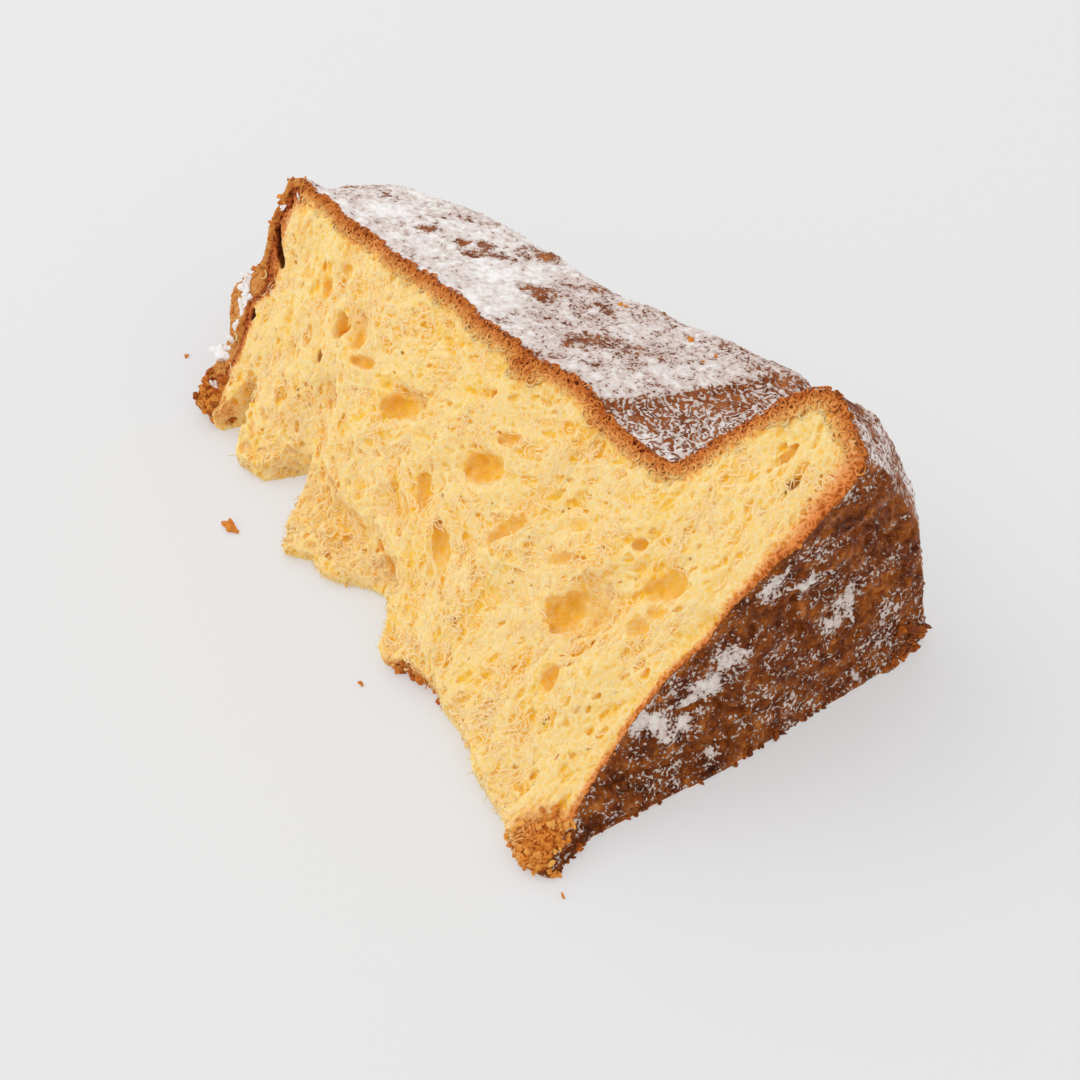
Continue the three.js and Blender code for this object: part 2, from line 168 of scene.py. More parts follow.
def lattice(place, seed):
    """How far into its cell each place lies, and a way to get a random number for each cell near it."""
    cell = np.floor(place)
    part = np.ascontiguousarray((place - cell).T, np.float32)
    keys = [cell[:, n].astype(np.int32).view(np.uint32) * np.uint32(STRIDES[n]) for n in range(3)]
    salt = np.uint32(seed * 2654435761 % 2**32)

    def number(*step):
        moved = [keys[n] + np.uint32(step[n] * STRIDES[n] % 2**32) for n in range(3)]
        return shuffled(moved[0] ^ moved[1] ^ moved[2] ^ salt)

    return part, number


def waves(at, length, seed):
    """Soft random swells from -1 to 1, about one every length mm."""
    part, number = lattice((at / length).astype(np.float32), seed)
    part = part * part * (3 - 2 * part)
    total = np.zeros(len(at), np.float32)
    for i, j, k in np.ndindex(2, 2, 2):
        share = (part[0] if i else 1 - part[0]) * (part[1] if j else 1 - part[1])
        total += share * (part[2] if k else 1 - part[2]) * number(i, j, k).astype(np.float32)
    return total / 2**31 - 1


def shaken(at, far, length, seed):
    """Points in mm, moved up to that far by soft random swells."""
    return at + far * np.stack([waves(at, length, seed + n) for n in range(3)], axis=1)


def bubbles(place, seed, way=None):
    """How far the two nearest bubbles' middles are, one apart on average, and a number for the nearest."""
    part, number = lattice(place.astype(np.float32), seed)
    near = np.full(len(place), 9, np.float32)
    second = near.copy()
    roll = np.zeros(len(place), np.uint32)
    for step in np.ndindex(3, 3, 3):
        step = [n - 1 for n in step]
        drawn = number(*step)
        far = np.zeros(len(place), np.float32)
        lengthwise = np.zeros(len(place), np.float32)
        for n in range(3):
            share = ((drawn >> np.uint32(10 * n)) & np.uint32(1023)).astype(np.float32) / 1023
            off = share + (step[n] - part[n])
            far += off ** 2
            if way is not None:
                lengthwise += off * way[:, n]
        far -= (1 - PULL_STRETCH ** -2) * lengthwise ** 2
        closer = far < near
        second = np.where(closer, near, np.minimum(second, far))
        roll = np.where(closer, drawn, roll)
        near = np.where(closer, far, near)
    return np.sqrt(near), np.sqrt(second), shuffled(roll).astype(np.float32) / 2**32


def pockets(place, seed):
    """From 0 on the walls of a foam to 1 deep in its bubbles, some of them hardly open."""
    near, second, roll = bubbles(place, seed)
    return rise(0.03, 0.5, second - near) * (0.15 + 0.85 * roll)


def pores(place, seed, way):
    """1 inside the pores of a sponge, small and large and drawn out along the pull, and 0 on its walls."""
    near, _, roll = bubbles(place, seed, way)
    wide = 0.12 + 0.26 * roll
    return 1 - rise(0.6 * wide, 1.15 * wide, near)


def hollows(place, seed, way):
    """Soft bowls, 1 in the middle of each, in about half of the places where one could be."""
    near, _, roll = bubbles(place, seed, way)
    return (1 - rise(0.05, 0.5, near)) * rise(0.4, 0.8, roll)


def pull(at):
    """Which way the crumb was drawn out at each place."""
    along, across = at[:, 0], at @ CUT_ACROSS
    double_cosine, double_sine = (np.zeros(len(at), np.float32) for n in range(2))
    for x, r, lean_degrees in PULL_LEANS:
        weight = ((along - x) ** 2 + (across - r) ** 2 + 60.0) ** -2
        double_cosine += weight * math.cos(2 * math.radians(lean_degrees))
        double_sine += weight * math.sin(2 * math.radians(lean_degrees))
    turn = 0.5 * np.arctan2(double_sine, double_cosine) + 0.4 * waves(at, 9, 17)
    return (np.outer(np.cos(turn), [1, 0, 0]) + np.outer(np.sin(turn), CUT_ACROSS)).astype(np.float32)


def torn_open(at):
    """Depth in mm of pores and hollows at places in the crumb, and how golden they are, from 0 to 1."""
    place = shaken(at, 0.5, 2.1, 23)
    way = pull(at)
    large, small = pores(place / PORE_SIZE, 31, way), pores(place / FINE_PORE_SIZE, 33, way)
    bowl = np.maximum(hollows(place / HOLLOW_SIZE, 35, way), 0.8 * hollows(place / STREAK_SIZE, 36, way))
    hanging = (1 - rise(14, 32, at @ CUT_ACROSS)) * (1 - rise(85, 118, at[:, 0])) * rise(20, 40, at[:, 0])
    sink = PORE_DEPTH * large + FINE_PORE_DEPTH * small + HOLLOW_DEPTH * bowl
    sink = sink + hanging * WEB_DEPTH * pockets(place / WEB_SIZE, 51)
    return sink, np.clip(0.7 * large + 0.5 * small + 0.6 * bowl, 0, 1)


def large_holes(at):
    """How far in mm places lie inside the large bubbles, and from 0 to 1 how near one they are."""
    along, across, down = at[:, 0], at @ CUT_ACROSS, at @ CUT_DOWN
    wobble = 0.22 * waves(at, 3.6, 19) + 0.12 * waves(at, 1.6, 20)
    inside = np.full(len(at), -9, np.float32)
    by_hole = np.zeros(len(at), np.float32)
    for x, r, half_length, half_width, hole_depth, lean_degrees in LARGE_BUBBLES:
        turned = math.radians(lean_degrees)
        length = ((along - x) * math.cos(turned) + (across - r) * math.sin(turned)) / half_length
        width = ((across - r) * math.cos(turned) - (along - x) * math.sin(turned)) / half_width
        spread = np.sqrt(length ** 2 + width ** 2 + ((down - 0.3) / hole_depth) ** 2) + wobble
        inside = np.maximum(inside, (1 - spread) * half_width)
        by_hole = np.maximum(by_hole, 1 - rise(0.75, 1.15, spread))
    return inside, by_hole


def cracked(at):
    """How far in mm places lie inside the cracks behind the skin of the narrow top."""
    along, across = at[:, 0], at @ CUT_ACROSS
    inside = np.full(len(at), -9, np.float32)
    for x, r, end_x, end_r, half_width in CRACKS:
        run, climb = end_x - x, end_r - r
        part = np.clip(((along - x) * run + (across - r) * climb) / (run ** 2 + climb ** 2), 0, 1)
        inside = np.maximum(inside, half_width - np.hypot(along - x - part * run, across - r - part * climb))
    return inside + 0.45 * waves(at, 2.2, 71)


def joined(one, other, soft):
    """The larger of two depths, with a soft turn where they meet."""
    part = np.clip(0.5 + 0.5 * (one - other) / soft, 0, 1)
    return one * part + other * (1 - part) + soft * part * (1 - part)


cells, low = block[:2]
index = np.argwhere((cells > -CRACK_REACH) & (cells < 1.2))
at = ((index + low) * GRAIN).astype(np.float32)
to_torn = read(from_skin["torn"], at)
reach = np.where(at[:, 0] < BY_NARROW_TOP, CRACK_REACH, PORE_REACH) + 0.3
keep = (to_torn < reach) & (at[:, 2] > 0.5)
index, at = index[keep], at[keep]
depth = cells[tuple(index.T)]
to_flank, to_base, to_top = (read(from_skin[name], at) for name in ("flank", "base", "top"))

in_crumb = rise(2.4, 4.6, to_flank) * rise(0.3, 1.2, to_base) * rise(3.0, 5.0, to_top)
in_crumb = in_crumb * rise(0.4, 1.6, at[:, 2])
sink = torn_open(at)[0]
inside, by_hole = large_holes(at)
tuft = 0.3 * waves(at, 2.6, 11) + 0.12 * waves(at, 1.2, 12)
depth = depth + in_crumb * ((1 - 0.95 * by_hole) * (sink + tuft) - 0.4)
depth = joined(depth, np.minimum(inside, in_crumb * 9 - 0.3), 0.9)

# In the browned band by the flank and the top the walls dried into open curls.
to_rim = np.minimum(to_flank, to_top)
in_band = rise(0.2, 0.9, to_rim) * (1 - rise(2.8, 4.8, to_rim)) * rise(0.8, 2.0, to_base)
curl_pockets = pockets(at / CURL_SIZE + 0.3 * waves(at, 2.1, 23)[:, None], 61)
depth = depth + in_band * (CURL_DEPTH * curl_pockets - 0.5 + 0.4 * waves(at, 2.2, 62))

# Behind the skin of the narrow top the crumb has shrunk away and left a crack.
crack = np.minimum(cracked(at), 6.0 - at @ CUT_DOWN)
cells[tuple(index.T)] = np.maximum(depth, crack)
grid = openvdb.FloatGrid(background=REACH * GRAIN)
grid.transform = openvdb.createLinearTransform(voxelSize=GRAIN)
grid.copyFromArray(cells, ijk=tuple(int(n) for n in low), tolerance=0)
points, quads = grid.convertToQuads(isovalue=0.0)
points, quads = np.array(points, np.float32), np.array(quads, np.int64)


def all_in_one(count, quads):
    """The quads that hang together with the largest piece, without closed bubbles and loose bits."""
    label = np.arange(count)
    while True:
        least = label[quads].min(axis=1)
        lower = label.copy()
        for column in range(4):
            np.minimum.at(lower, quads[:, column], least)
        lower = lower[lower]
        if np.array_equal(lower, label):
            break
        label = lower
    most = np.bincount(label).argmax()
    return quads[label[quads[:, 0]] == most]


def renumbered(points, quads):
    """Only the points that the quads use, and the quads with their new numbers."""
    used = np.unique(quads)
    place_of = np.zeros(len(points), np.int64)
    place_of[used] = np.arange(len(used))
    return points[used], place_of[quads]


def lean(points, quads):
    """The way the skin faces at each of its points."""
    across = np.cross(points[quads[:, 2]] - points[quads[:, 0]], points[quads[:, 3]] - points[quads[:, 1]])
    total = np.stack([sum(np.bincount(quads[:, corner], across[:, axis], len(points)) for corner in range(4))
                      for axis in range(3)], axis=1)
    return (total / np.maximum(np.linalg.norm(total, axis=1), 1e-9)[:, None]).astype(np.float32)


points, quads = renumbered(points, all_in_one(len(points), quads))
normal = lean(points, quads)
if (read((cells, low, GRAIN), points + 0.3 * normal) - read((cells, low, GRAIN), points)).mean() < 0:
    quads, normal = quads[:, ::-1], -normal

# The skin is shared out: each point goes to the nearest face of the solid, and a quad goes with its first
# point. Points where two skins meet stay in place when a crust gets its relief, so the pieces stay joined.
TORN, FLANK, BASE, TOP, FLOOR_SIDE = range(5)
names = ["torn", "flank", "base", "top", "floor"]
far = {name: read(from_skin[name], points) for name in names}
sunk = read(plain, points)
skin = np.argmin(np.stack([far[name] for name in names]), axis=0)
skin[(sunk < -0.5) & (points[:, 2] > 0.7)] = TORN
quad_skin = skin[quads[:, 0]]
mixed = (skin[quads] != quad_skin[:, None]).any(axis=1)
fixed = np.zeros(len(points), bool)
fixed[np.unique(quads[mixed])] = True


def thickness(cells, width):
    """Share of solid in a cube of that many cells round each cell."""
    share = (cells < 0).astype(np.float32)
    for axis in range(3):
        total = np.cumsum(share, axis=axis, dtype=np.float32)
        front, back, between = ([slice(None)] * 3 for n in range(3))
        front[axis], back[axis] = slice(width, None), slice(None, -width)
        between[axis] = slice(width // 2 + 1, total.shape[axis] - width + width // 2 + 1)
        share = np.zeros_like(total)
        share[tuple(between)] = (total[tuple(front)] - total[tuple(back)]) / width
    return share


deep = read((thickness(cells[::2, ::2, ::2], 13), low / 2, 2 * GRAIN), points)


def patch(at, middle, size):
    """From 1 in the middle of a round patch to 0 at its edge."""
    return 1 - rise(0.3, 1.0, np.linalg.norm((at - np.array(middle)) / np.array(size), axis=1))


def skin_piece(name, points, quads, normal, flat_u, flat_v, values):
    """One piece of skin as a mesh in metres, with its values at each point and a flat map of it."""
    own = np.unique(quads)
    place_of = np.zeros(len(points), np.int64)
    place_of[own] = np.arange(len(own))
    loops = place_of[quads].ravel().astype(np.int32)
    mesh = bpy.data.meshes.new(name)
    mesh.vertices.add(len(own))
    mesh.vertices.foreach_set("co", ((points[own] + LOAF_AXIS) / 1000).astype(np.float32).ravel())
    mesh.loops.add(len(loops))
    mesh.loops.foreach_set("vertex_index", loops)
    corners = quads.shape[1]
    mesh.polygons.add(len(quads))
    mesh.polygons.foreach_set("loop_start", np.arange(0, len(loops), corners, dtype=np.int32))
    mesh.polygons.foreach_set("use_smooth", np.ones(len(quads), bool))
    for key, value in values.items():
        kind, field = ("FLOAT", "value") if value.ndim == 1 else ("FLOAT_VECTOR", "vector")
        attribute = mesh.attributes.new(key, kind, "POINT")
        attribute.data.foreach_set(field, value[own].astype(np.float32).ravel())
    flat = np.stack([flat_u[own], flat_v[own]], axis=1)
    flat = (flat - flat.min(axis=0)) / (flat.max(axis=0) - flat.min(axis=0)).max()
    mesh.uv_layers.new(name="OFBake").data.foreach_set("uv", flat[loops].astype(np.float32).ravel())
    mesh.update(calc_edges=True)
    mesh.normals_split_custom_set_from_vertices([tuple(n) for n in normal[own].tolist()])
    piece = bpy.data.objects.new(name, mesh)
    bpy.context.scene.collection.objects.link(piece)
    return piece


def linear(hex_colour):
    """An sRGB colour such as #F4D9A0 as linear red, green, blue and a full alpha."""
    parts = [int(hex_colour[n:n + 2], 16) / 255 for n in (1, 3, 5)]
    return tuple(p / 12.92 if p <= 0.04045 else ((p + 0.055) / 1.055) ** 2.4 for p in parts) + (1.0,)


def add(tree, kind, inputs=None, stops=(), **settings):
    """One node of a material, with its settings, its colour stops, and a value or a link for each input."""
    node = tree.nodes.new("ShaderNode" + kind)
    for name, value in settings.items():
        setattr(node, name, value)
    for name, value in (inputs or {}).items():
        if isinstance(value, bpy.types.NodeSocket):
            tree.links.new(value, node.inputs[name])
        else:
            node.inputs[name].default_value = value
    for number, (position, colour) in enumerate(stops):
        elements = node.color_ramp.elements
        stop = elements[number] if number < 2 else elements.new(position)
        stop.position, stop.color = position, linear(colour)
    return node


# Egg-rich crumb: golden in the pits, where light has gone through much of it, and pale cream on the thin
# walls and strands between the bubbles; toward the crust it dries to orange, then to brown with dark
# curls. Near a crust the gaps between the curls are also painted dark as shade, and the curls painted
# light as highlights.
BAND = 7.2                      # mm, depth of crumb over which the oven's colour fades
WIGGLE, STRAND, GRIT, SWIRL = 1.5, 1.9, 1.0, 2.6        # mm, sizes of the crumb's finest patterns
open_crumb = bpy.data.materials.new("open_crumb")
open_crumb.use_nodes = True
tree = open_crumb.node_tree
tree.nodes.clear()
place = add(tree, "TexCoord").outputs["Object"]
golden_share, deep_share, flank_far, base_far, top_far, toast_share, crevice_shade_share = (
    add(tree, "Attribute", attribute_name=name).outputs["Fac"]
    for name in ("golden", "deep", "to_flank", "to_base", "to_top", "toasted", "crevice_shade"))
jitter = add(tree, "TexNoise", {"Vector": place, "Scale": 1000 / WIGGLE, "Detail": 1.0}).outputs["Color"]
wiggle = add(tree, "VectorMath", {0: jitter, 1: (0.5, 0.5, 0.5)}, operation="SUBTRACT").outputs[0]
curled_place = add(tree, "VectorMath", {0: wiggle, 1: (0.0014,) * 3, 2: place},
                   operation="MULTIPLY_ADD").outputs[0]
wall = add(tree, "TexVoronoi", {"Vector": curled_place, "Scale": 1000 / STRAND},
           feature="DISTANCE_TO_EDGE").outputs[0]
strand = add(tree, "MapRange", {
    "Value": wall, "From Min": 0.02, "From Max": 0.16, "To Min": 1.0, "To Max": 0.0},
    interpolation_type="SMOOTHSTEP").outputs[0]
fine = add(tree, "TexNoise", {"Vector": place, "Scale": 1000 / GRIT, "Detail": 1.5}).outputs["Fac"]
swirl = add(tree, "TexNoise", {"Vector": curled_place, "Scale": 1000 / SWIRL, "Detail": 0.5}).outputs["Fac"]
swirl_turn = add(tree, "Math", {0: swirl, 1: 30.0}, operation="MULTIPLY").outputs[0]
swirl_line = add(tree, "Math", {0: swirl_turn}, operation="SINE").outputs[0]
curl = add(tree, "MapRange", {"Value": swirl_line, "From Min": 0.1, "From Max": 0.8}).outputs[0]
curl_or_strand = add(tree, "Math", {0: curl, 1: strand}, operation="MAXIMUM").outputs[0]

gold_inside = add(tree, "Math", {0: golden_share, 1: 0.8, 2: 0.5}, operation="MULTIPLY_ADD").outputs[0]
gold_walls = add(tree, "Math", {0: strand, 1: -0.45, 2: gold_inside}, operation="MULTIPLY_ADD").outputs[0]
gold = add(tree, "Math", {0: fine, 1: -0.3, 2: gold_walls}, operation="MULTIPLY_ADD",
           use_clamp=True).outputs[0]
walls = add(tree, "Mix", {0: gold, 6: linear("#FFDCA0"), 7: linear("#FFC23A")}, data_type="RGBA").outputs[2]
# Painted light: enclosed places of the crumb are painted a deeper, saturated gold, for light scattered in
# its pits.
deep_range = add(tree, "MapRange", {
    "Value": deep_share, "From Min": 0.56, "From Max": 0.76, "To Max": 0.75}).outputs[0]
crumb_colour = add(tree, "Mix", {0: deep_range, 6: walls, 7: linear("#F2B928")}, data_type="RGBA").outputs[2]


def baked(under, distance, wobble, start, fade, floor_stops, curl_stops, show_from, show_to):
    """The colour under it, browned by the oven near a crust with painted shade between the curls and
    painted highlights on them, and the share of the browning that shows.
    """
    wobbled = add(tree, "Math", {0: fine, 1: wobble, 2: distance}, operation="MULTIPLY_ADD").outputs[0]
    level = add(tree, "MapRange", {"Value": wobbled, "From Min": start, "From Max": start + fade}).outputs[0]
    floor_and_shade_colour = add(tree, "ValToRGB", {"Fac": level}, stops=floor_stops).outputs[0]
    curl_and_highlight_colour = add(tree, "ValToRGB", {"Fac": level}, stops=curl_stops).outputs[0]
    brown = add(tree, "Mix", {0: curl_or_strand, 6: floor_and_shade_colour, 7: curl_and_highlight_colour},
                data_type="RGBA").outputs[2]
    share = add(tree, "MapRange", {
        "Value": level, "From Min": show_from, "From Max": show_to, "To Min": 1.0, "To Max": 0.0},
        interpolation_type="SMOOTHSTEP").outputs[0]
    return add(tree, "Mix", {0: share, 6: under, 7: brown}, data_type="RGBA").outputs[2], share


by_flank, flank_share = baked(
    crumb_colour, flank_far, 3.0, 1.5, BAND,
    ((0.0, "#521A08"), (1.0, "#FFC038"), (0.14, "#8E3E14"), (0.3, "#B4602A"), (0.42, "#D6863C"),
     (0.54, "#F0A240"), (0.7, "#FCB03A")),
    ((0.0, "#C4602A"), (1.0, "#FFE2A6"), (0.14, "#E28A44"), (0.3, "#EAA05C"), (0.42, "#F0B068"),
     (0.54, "#F8C670"), (0.7, "#FFD688")), 0.45, 0.8)
by_base, _ = baked(
    by_flank, base_far, 1.6, 0.8, BAND / 2,
    ((0.0, "#A04C18"), (1.0, "#FFC848"), (0.2, "#C06826"), (0.4, "#D88838"), (0.65, "#F4B04A")),
    ((0.0, "#D87C38"), (1.0, "#FFE2AC"), (0.2, "#E69450"), (0.4, "#F2B272"), (0.65, "#FCCE88")), 0.35, 0.85)
# Near the top, the dark stops a little in from the caramel lip are painted shade of the crevice behind it.
by_top, top_share = baked(
    by_base, top_far, 2.4, 1.2, 1.6 * BAND,
    ((0.0, "#C68040"), (1.0, "#FFC23A"), (0.2, "#B0601F"), (0.27, "#5E220A"), (0.45, "#8A3E16"),
     (0.62, "#C06C28"), (0.8, "#EEA63A")),
    ((0.0, "#DCA05C"), (1.0, "#FFE2AC"), (0.2, "#C87E36"), (0.27, "#A8521E"), (0.45, "#C8703A"),
     (0.62, "#E29A50"), (0.8, "#FBC874")), 0.6, 0.95)
# Painted shade: the crack behind the narrow top's skin is painted dark brown for the shade inside it.
with_crevice_shade = add(tree, "Mix", {0: crevice_shade_share, 6: by_top, 7: linear("#3E1606")},
                 data_type="RGBA").outputs[2]

toast_level = add(tree, "Math", {0: fine, 1: 0.8, 2: toast_share}, operation="MULTIPLY_ADD").outputs[0]
toast_range = add(tree, "MapRange", {"Value": toast_level, "From Min": 0.5, "From Max": 1.2}).outputs[0]
toast_colour = add(tree, "Mix", {0: curl_or_strand, 6: linear("#B05C1C"), 7: linear("#E0923E")},
                   data_type="RGBA").outputs[2]
colour = add(tree, "Mix", {0: toast_range, 6: with_crevice_shade, 7: toast_colour}, data_type="RGBA").outputs[2]

strand_height = add(tree, "Math", {0: strand, 1: 0.9, 2: fine}, operation="MULTIPLY_ADD").outputs[0]
baked_share = add(tree, "Math", {0: flank_share, 1: top_share}, operation="MAXIMUM").outputs[0]
curl_height = add(tree, "Math", {0: curl, 1: baked_share}, operation="MULTIPLY").outputs[0]
height = add(tree, "Math", {0: curl_height, 1: 0.9, 2: strand_height}, operation="MULTIPLY_ADD").outputs[0]
bump = add(tree, "Bump", {"Height": height, "Strength": 0.35, "Distance": 0.0003}).outputs[0]
shader = add(tree, "BsdfPrincipled", {
    "Base Color": colour, "Roughness": 0.6, "IOR": 1.4, "Specular IOR Level": 0.08,
    "Subsurface Weight": 0.85, "Subsurface Radius": (0.55, 0.52, 0.38), "Subsurface Scale": 0.0015,
    "Normal": bump})
add(tree, "OutputMaterial", {"Surface": shader.outputs[0]})

flat_across = points @ CUT_ACROSS
TOASTED = (                     # mm, middles and half sizes of places that browned on the torn edge too
    ((181, 2, 3), (14, 12, 12)), ((124, 2, 2), (13, 6, 5)), ((16, 6, 6), (12, 7, 7)))
toasted = np.max([patch(points, m, s) for m, s in TOASTED], axis=0)
# How far each point lies inside the crack behind the top's skin, where the crack's shade is painted dark.
crevice_shade = rise(-0.5, 0.3, cracked(points)) * rise(0.3, 1.0, -sunk)
on_torn = np.nonzero(skin == TORN)[0]
BUBBLE_GOLD = 0.75              # how golden the large bubbles are inside
golden = np.zeros(len(points), np.float32)
by_hole = np.zeros(len(points), np.float32)
golden[on_torn] = torn_open(points[on_torn])[1]
by_hole[on_torn] = large_holes(points[on_torn])[1]
golden = golden * (1 - by_hole) + BUBBLE_GOLD * by_hole
lip = 4.2 * (1 - rise(36, 46, flat_across)) * rise(1, 4, far["top"]) * (1 - rise(6, 11, far["top"]))
crumb_values = {
    "golden": golden, "deep": deep, "toasted": toasted, "crevice_shade": 0.9 * crevice_shade,
    "to_flank": far["flank"] + 1.1 * waves(points, 9, 201) * (1 - rise(7, 11, far["flank"])),
    "to_base": far["base"] / (0.75 + 1.7 * rise(60, 100, flat_across)),
    "to_top": far["top"] - lip}
SPLIT_BY_TOP, SPLIT_BY_BASE = 70, 125           # mm along the axis, where one piece of crumb meets the next
for name, first, last in (
        ("crumb_by_top", -math.inf, SPLIT_BY_TOP), ("crumb_in_middle", SPLIT_BY_TOP, SPLIT_BY_BASE),
        ("crumb_by_base", SPLIT_BY_BASE, math.inf)):
    chosen = (quad_skin == TORN) & (points[quads[:, 0], 0] >= first) & (points[quads[:, 0], 0] < last)
    piece = skin_piece(name, points, quads[chosen], normal, points[:, 0], flat_across, crumb_values)
    piece.data.materials.append(open_crumb)
    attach(piece, "root")
    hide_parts("pandoro_slice")

# The side it lies on is the same crumb pressed flat on what carries it. It has no pores to show, so it is
# made of few faces.
FLOOR_SIDE_FACES = 0.06         # share of them that is kept
piece = skin_piece("floor_side_crumb", points, quads[quad_skin == FLOOR_SIDE], normal,
                   points[:, 0], points[:, 1], crumb_values)
piece.data.materials.append(open_crumb)
piece.modifiers.new("fewer", "DECIMATE").ratio = FLOOR_SIDE_FACES
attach(piece, "root")
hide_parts("pandoro_slice")


# Threads of the crumb: gluten that drew out thin and pale when the slice was pulled off the loaf. They
# bridge the pockets along the pull, and stand out free at the torn edge; by the crust they dried into curls.
THREADS, CURLS, FEATHERS = 6000, 700, 700       # how many are drawn
THREAD_LENGTH, CURL_LENGTH, FEATHER_LENGTH = (1.5, 4.2), (3.0, 6.5), (0.5, 1.4)         # mm
THREAD_WIDTH, CURL_RADIUS, FEATHER_RADIUS = (0.12, 0.3), (0.18, 0.32), (0.08, 0.15)     # mm
THREAD_GRIT = 1.2               # mm, size of the blotches along a thread


def slope(at):
    """The way out of the slice at points in mm."""
    shift = 0.7 * np.eye(3, dtype=np.float32)
    way = np.stack([read(plain, at + shift[n]) - read(plain, at - shift[n]) for n in range(3)], axis=1)
    return way / np.maximum(np.linalg.norm(way, axis=1), 1e-6)[:, None]


def drawn_out(start, way, length, curl, height, steps, stray, rng):
    """Paths of threads that start in the skin, run along it with a curl and bow up to a height over it."""
    path = [start]
    stride = length / (steps - 1)
    for step in range(1, steps):
        at = path[-1]
        out = slope(at)
        way = way - (way * out).sum(axis=1)[:, None] * out
        way /= np.maximum(np.linalg.norm(way, axis=1), 1e-6)[:, None]
        angle = curl * stride + rng.normal(0, stray, len(start))
        way = way * np.cos(angle)[:, None] + np.cross(out, way) * np.sin(angle)[:, None]
        at = at + way * stride[:, None]
        bow = height * math.sin(math.pi * step / (steps - 1)) + 0.2
        path.append(at - (np.clip(read(plain, at) - bow, -0.6, 0.6))[:, None] * slope(at))
    return np.stack(path, axis=1).astype(np.float32)


def tubes(path, stout, sides=3):
    """Thin tapering tubes along paths, as points and quads."""
    count, steps = path.shape[:2]
    ahead = np.gradient(path, axis=1)
    ahead /= np.maximum(np.linalg.norm(ahead, axis=2), 1e-6)[..., None]
    side = np.cross(ahead, np.array([0.36, -0.48, 0.8]))
    side /= np.maximum(np.linalg.norm(side, axis=2), 1e-6)[..., None]
    top = np.cross(ahead, side)
    taper = 1 - 0.75 * np.abs(np.linspace(-1, 1, steps)) ** 3
    ring = [path + (stout[:, None] * taper)[..., None] * (math.cos(a) * side + math.sin(a) * top)
            for a in np.arange(sides) * math.tau / sides]
    ring = np.stack(ring, axis=2)
    number = np.arange(count * steps * sides).reshape(count, steps, sides)
    turned = np.roll(number, -1, axis=2)
    quads = np.stack([number[:, :-1], turned[:, :-1], turned[:, 1:], number[:, 1:]], axis=3)
    return ring.reshape(-1, 3).astype(np.float32), quads.reshape(-1, 4)


def ribbons(path, wide):
    """Thin flat strips along paths, lying on the skin, as points, quads and the way they face."""
    count, steps = path.shape[:2]
    out = slope(path.reshape(-1, 3)).reshape(path.shape)
    side = np.cross(out, np.gradient(path, axis=1))
    side /= np.maximum(np.linalg.norm(side, axis=2), 1e-6)[..., None]
    taper = 1 - 0.75 * np.abs(np.linspace(-1, 1, steps)) ** 3
    edge = (0.5 * wide[:, None] * taper)[..., None] * side
    number = np.arange(count * steps * 2).reshape(count, steps, 2)
    quads = np.stack([number[:, :-1, 1], number[:, :-1, 0], number[:, 1:, 0], number[:, 1:, 1]], axis=2)
    both = np.stack([path - edge, path + edge], axis=2)
    points, facing_out = both.reshape(-1, 3).astype(np.float32), np.repeat(out.reshape(-1, 3), 2, axis=0)
    return points, quads.reshape(-1, 4), facing_out


# Dried gluten: so thin that light goes through it; cream, or caramel and dull where the oven reached it.
dried_thread = bpy.data.materials.new("dried_thread")
dried_thread.use_nodes = True
tree = dried_thread.node_tree
tree.nodes.clear()
place = add(tree, "TexCoord").outputs["Object"]
brown_share = add(tree, "Attribute", attribute_name="brown").outputs["Fac"]
fine = add(tree, "TexNoise", {"Vector": place, "Scale": 1000 / THREAD_GRIT, "Detail": 2.0}).outputs["Fac"]
brown_level = add(tree, "Math", {0: fine, 1: 0.5, 2: brown_share}, operation="MULTIPLY_ADD").outputs[0]
thread_colour = add(tree, "ValToRGB", {"Fac": brown_level}, stops=(
    (0.1, "#FFEEBE"), (1.0, "#7E360C"), (0.32, "#FFE09A"), (0.48, "#F2AE60"), (0.66, "#DE863A"),
    (0.83, "#B85818"))).outputs[0]
bump = add(tree, "Bump", {"Height": fine, "Strength": 0.4, "Distance": 0.0001}).outputs[0]
shader = add(tree, "BsdfPrincipled", {
    "Base Color": thread_colour, "Roughness": 0.5, "IOR": 1.4, "Specular IOR Level": 0.2, "Normal": bump})
see_through = add(tree, "MapRange", {
    "Value": brown_level, "From Min": 0.25, "From Max": 0.5, "To Min": 0.28, "To Max": 0.0}).outputs[0]
through = add(tree, "BsdfTranslucent", {"Color": thread_colour, "Normal": bump})
both = add(tree, "MixShader", {0: see_through, 1: shader.outputs[0], 2: through.outputs[0]})
add(tree, "OutputMaterial", {"Surface": both.outputs[0]})


def thread_piece(name, points, quads, normal):
    """All threads of one kind as one mesh in metres, browned by how near the crusts they are."""
    points[:, 2] = np.maximum(points[:, 2], 0.02)
    flank_brown = 0.58 - read(from_skin["flank"], points) / 9.0
    top_brown = 0.6 - read(from_skin["top"], points) / 10.0
    base_brown = 0.5 - read(from_skin["base"], points) / 3.0
    toasted = np.max([patch(points, m, s) for m, s in TOASTED], axis=0)
    browned = np.max([flank_brown, top_brown, base_brown, 0.75 * toasted - 0.3], axis=0)
    browned = np.clip(browned, -0.1, 1)
    piece = skin_piece(name, points, quads, normal, points[:, 0], points @ CUT_ACROSS, {"brown": browned})
    piece.data.materials.append(dried_thread)
    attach(piece, "root")


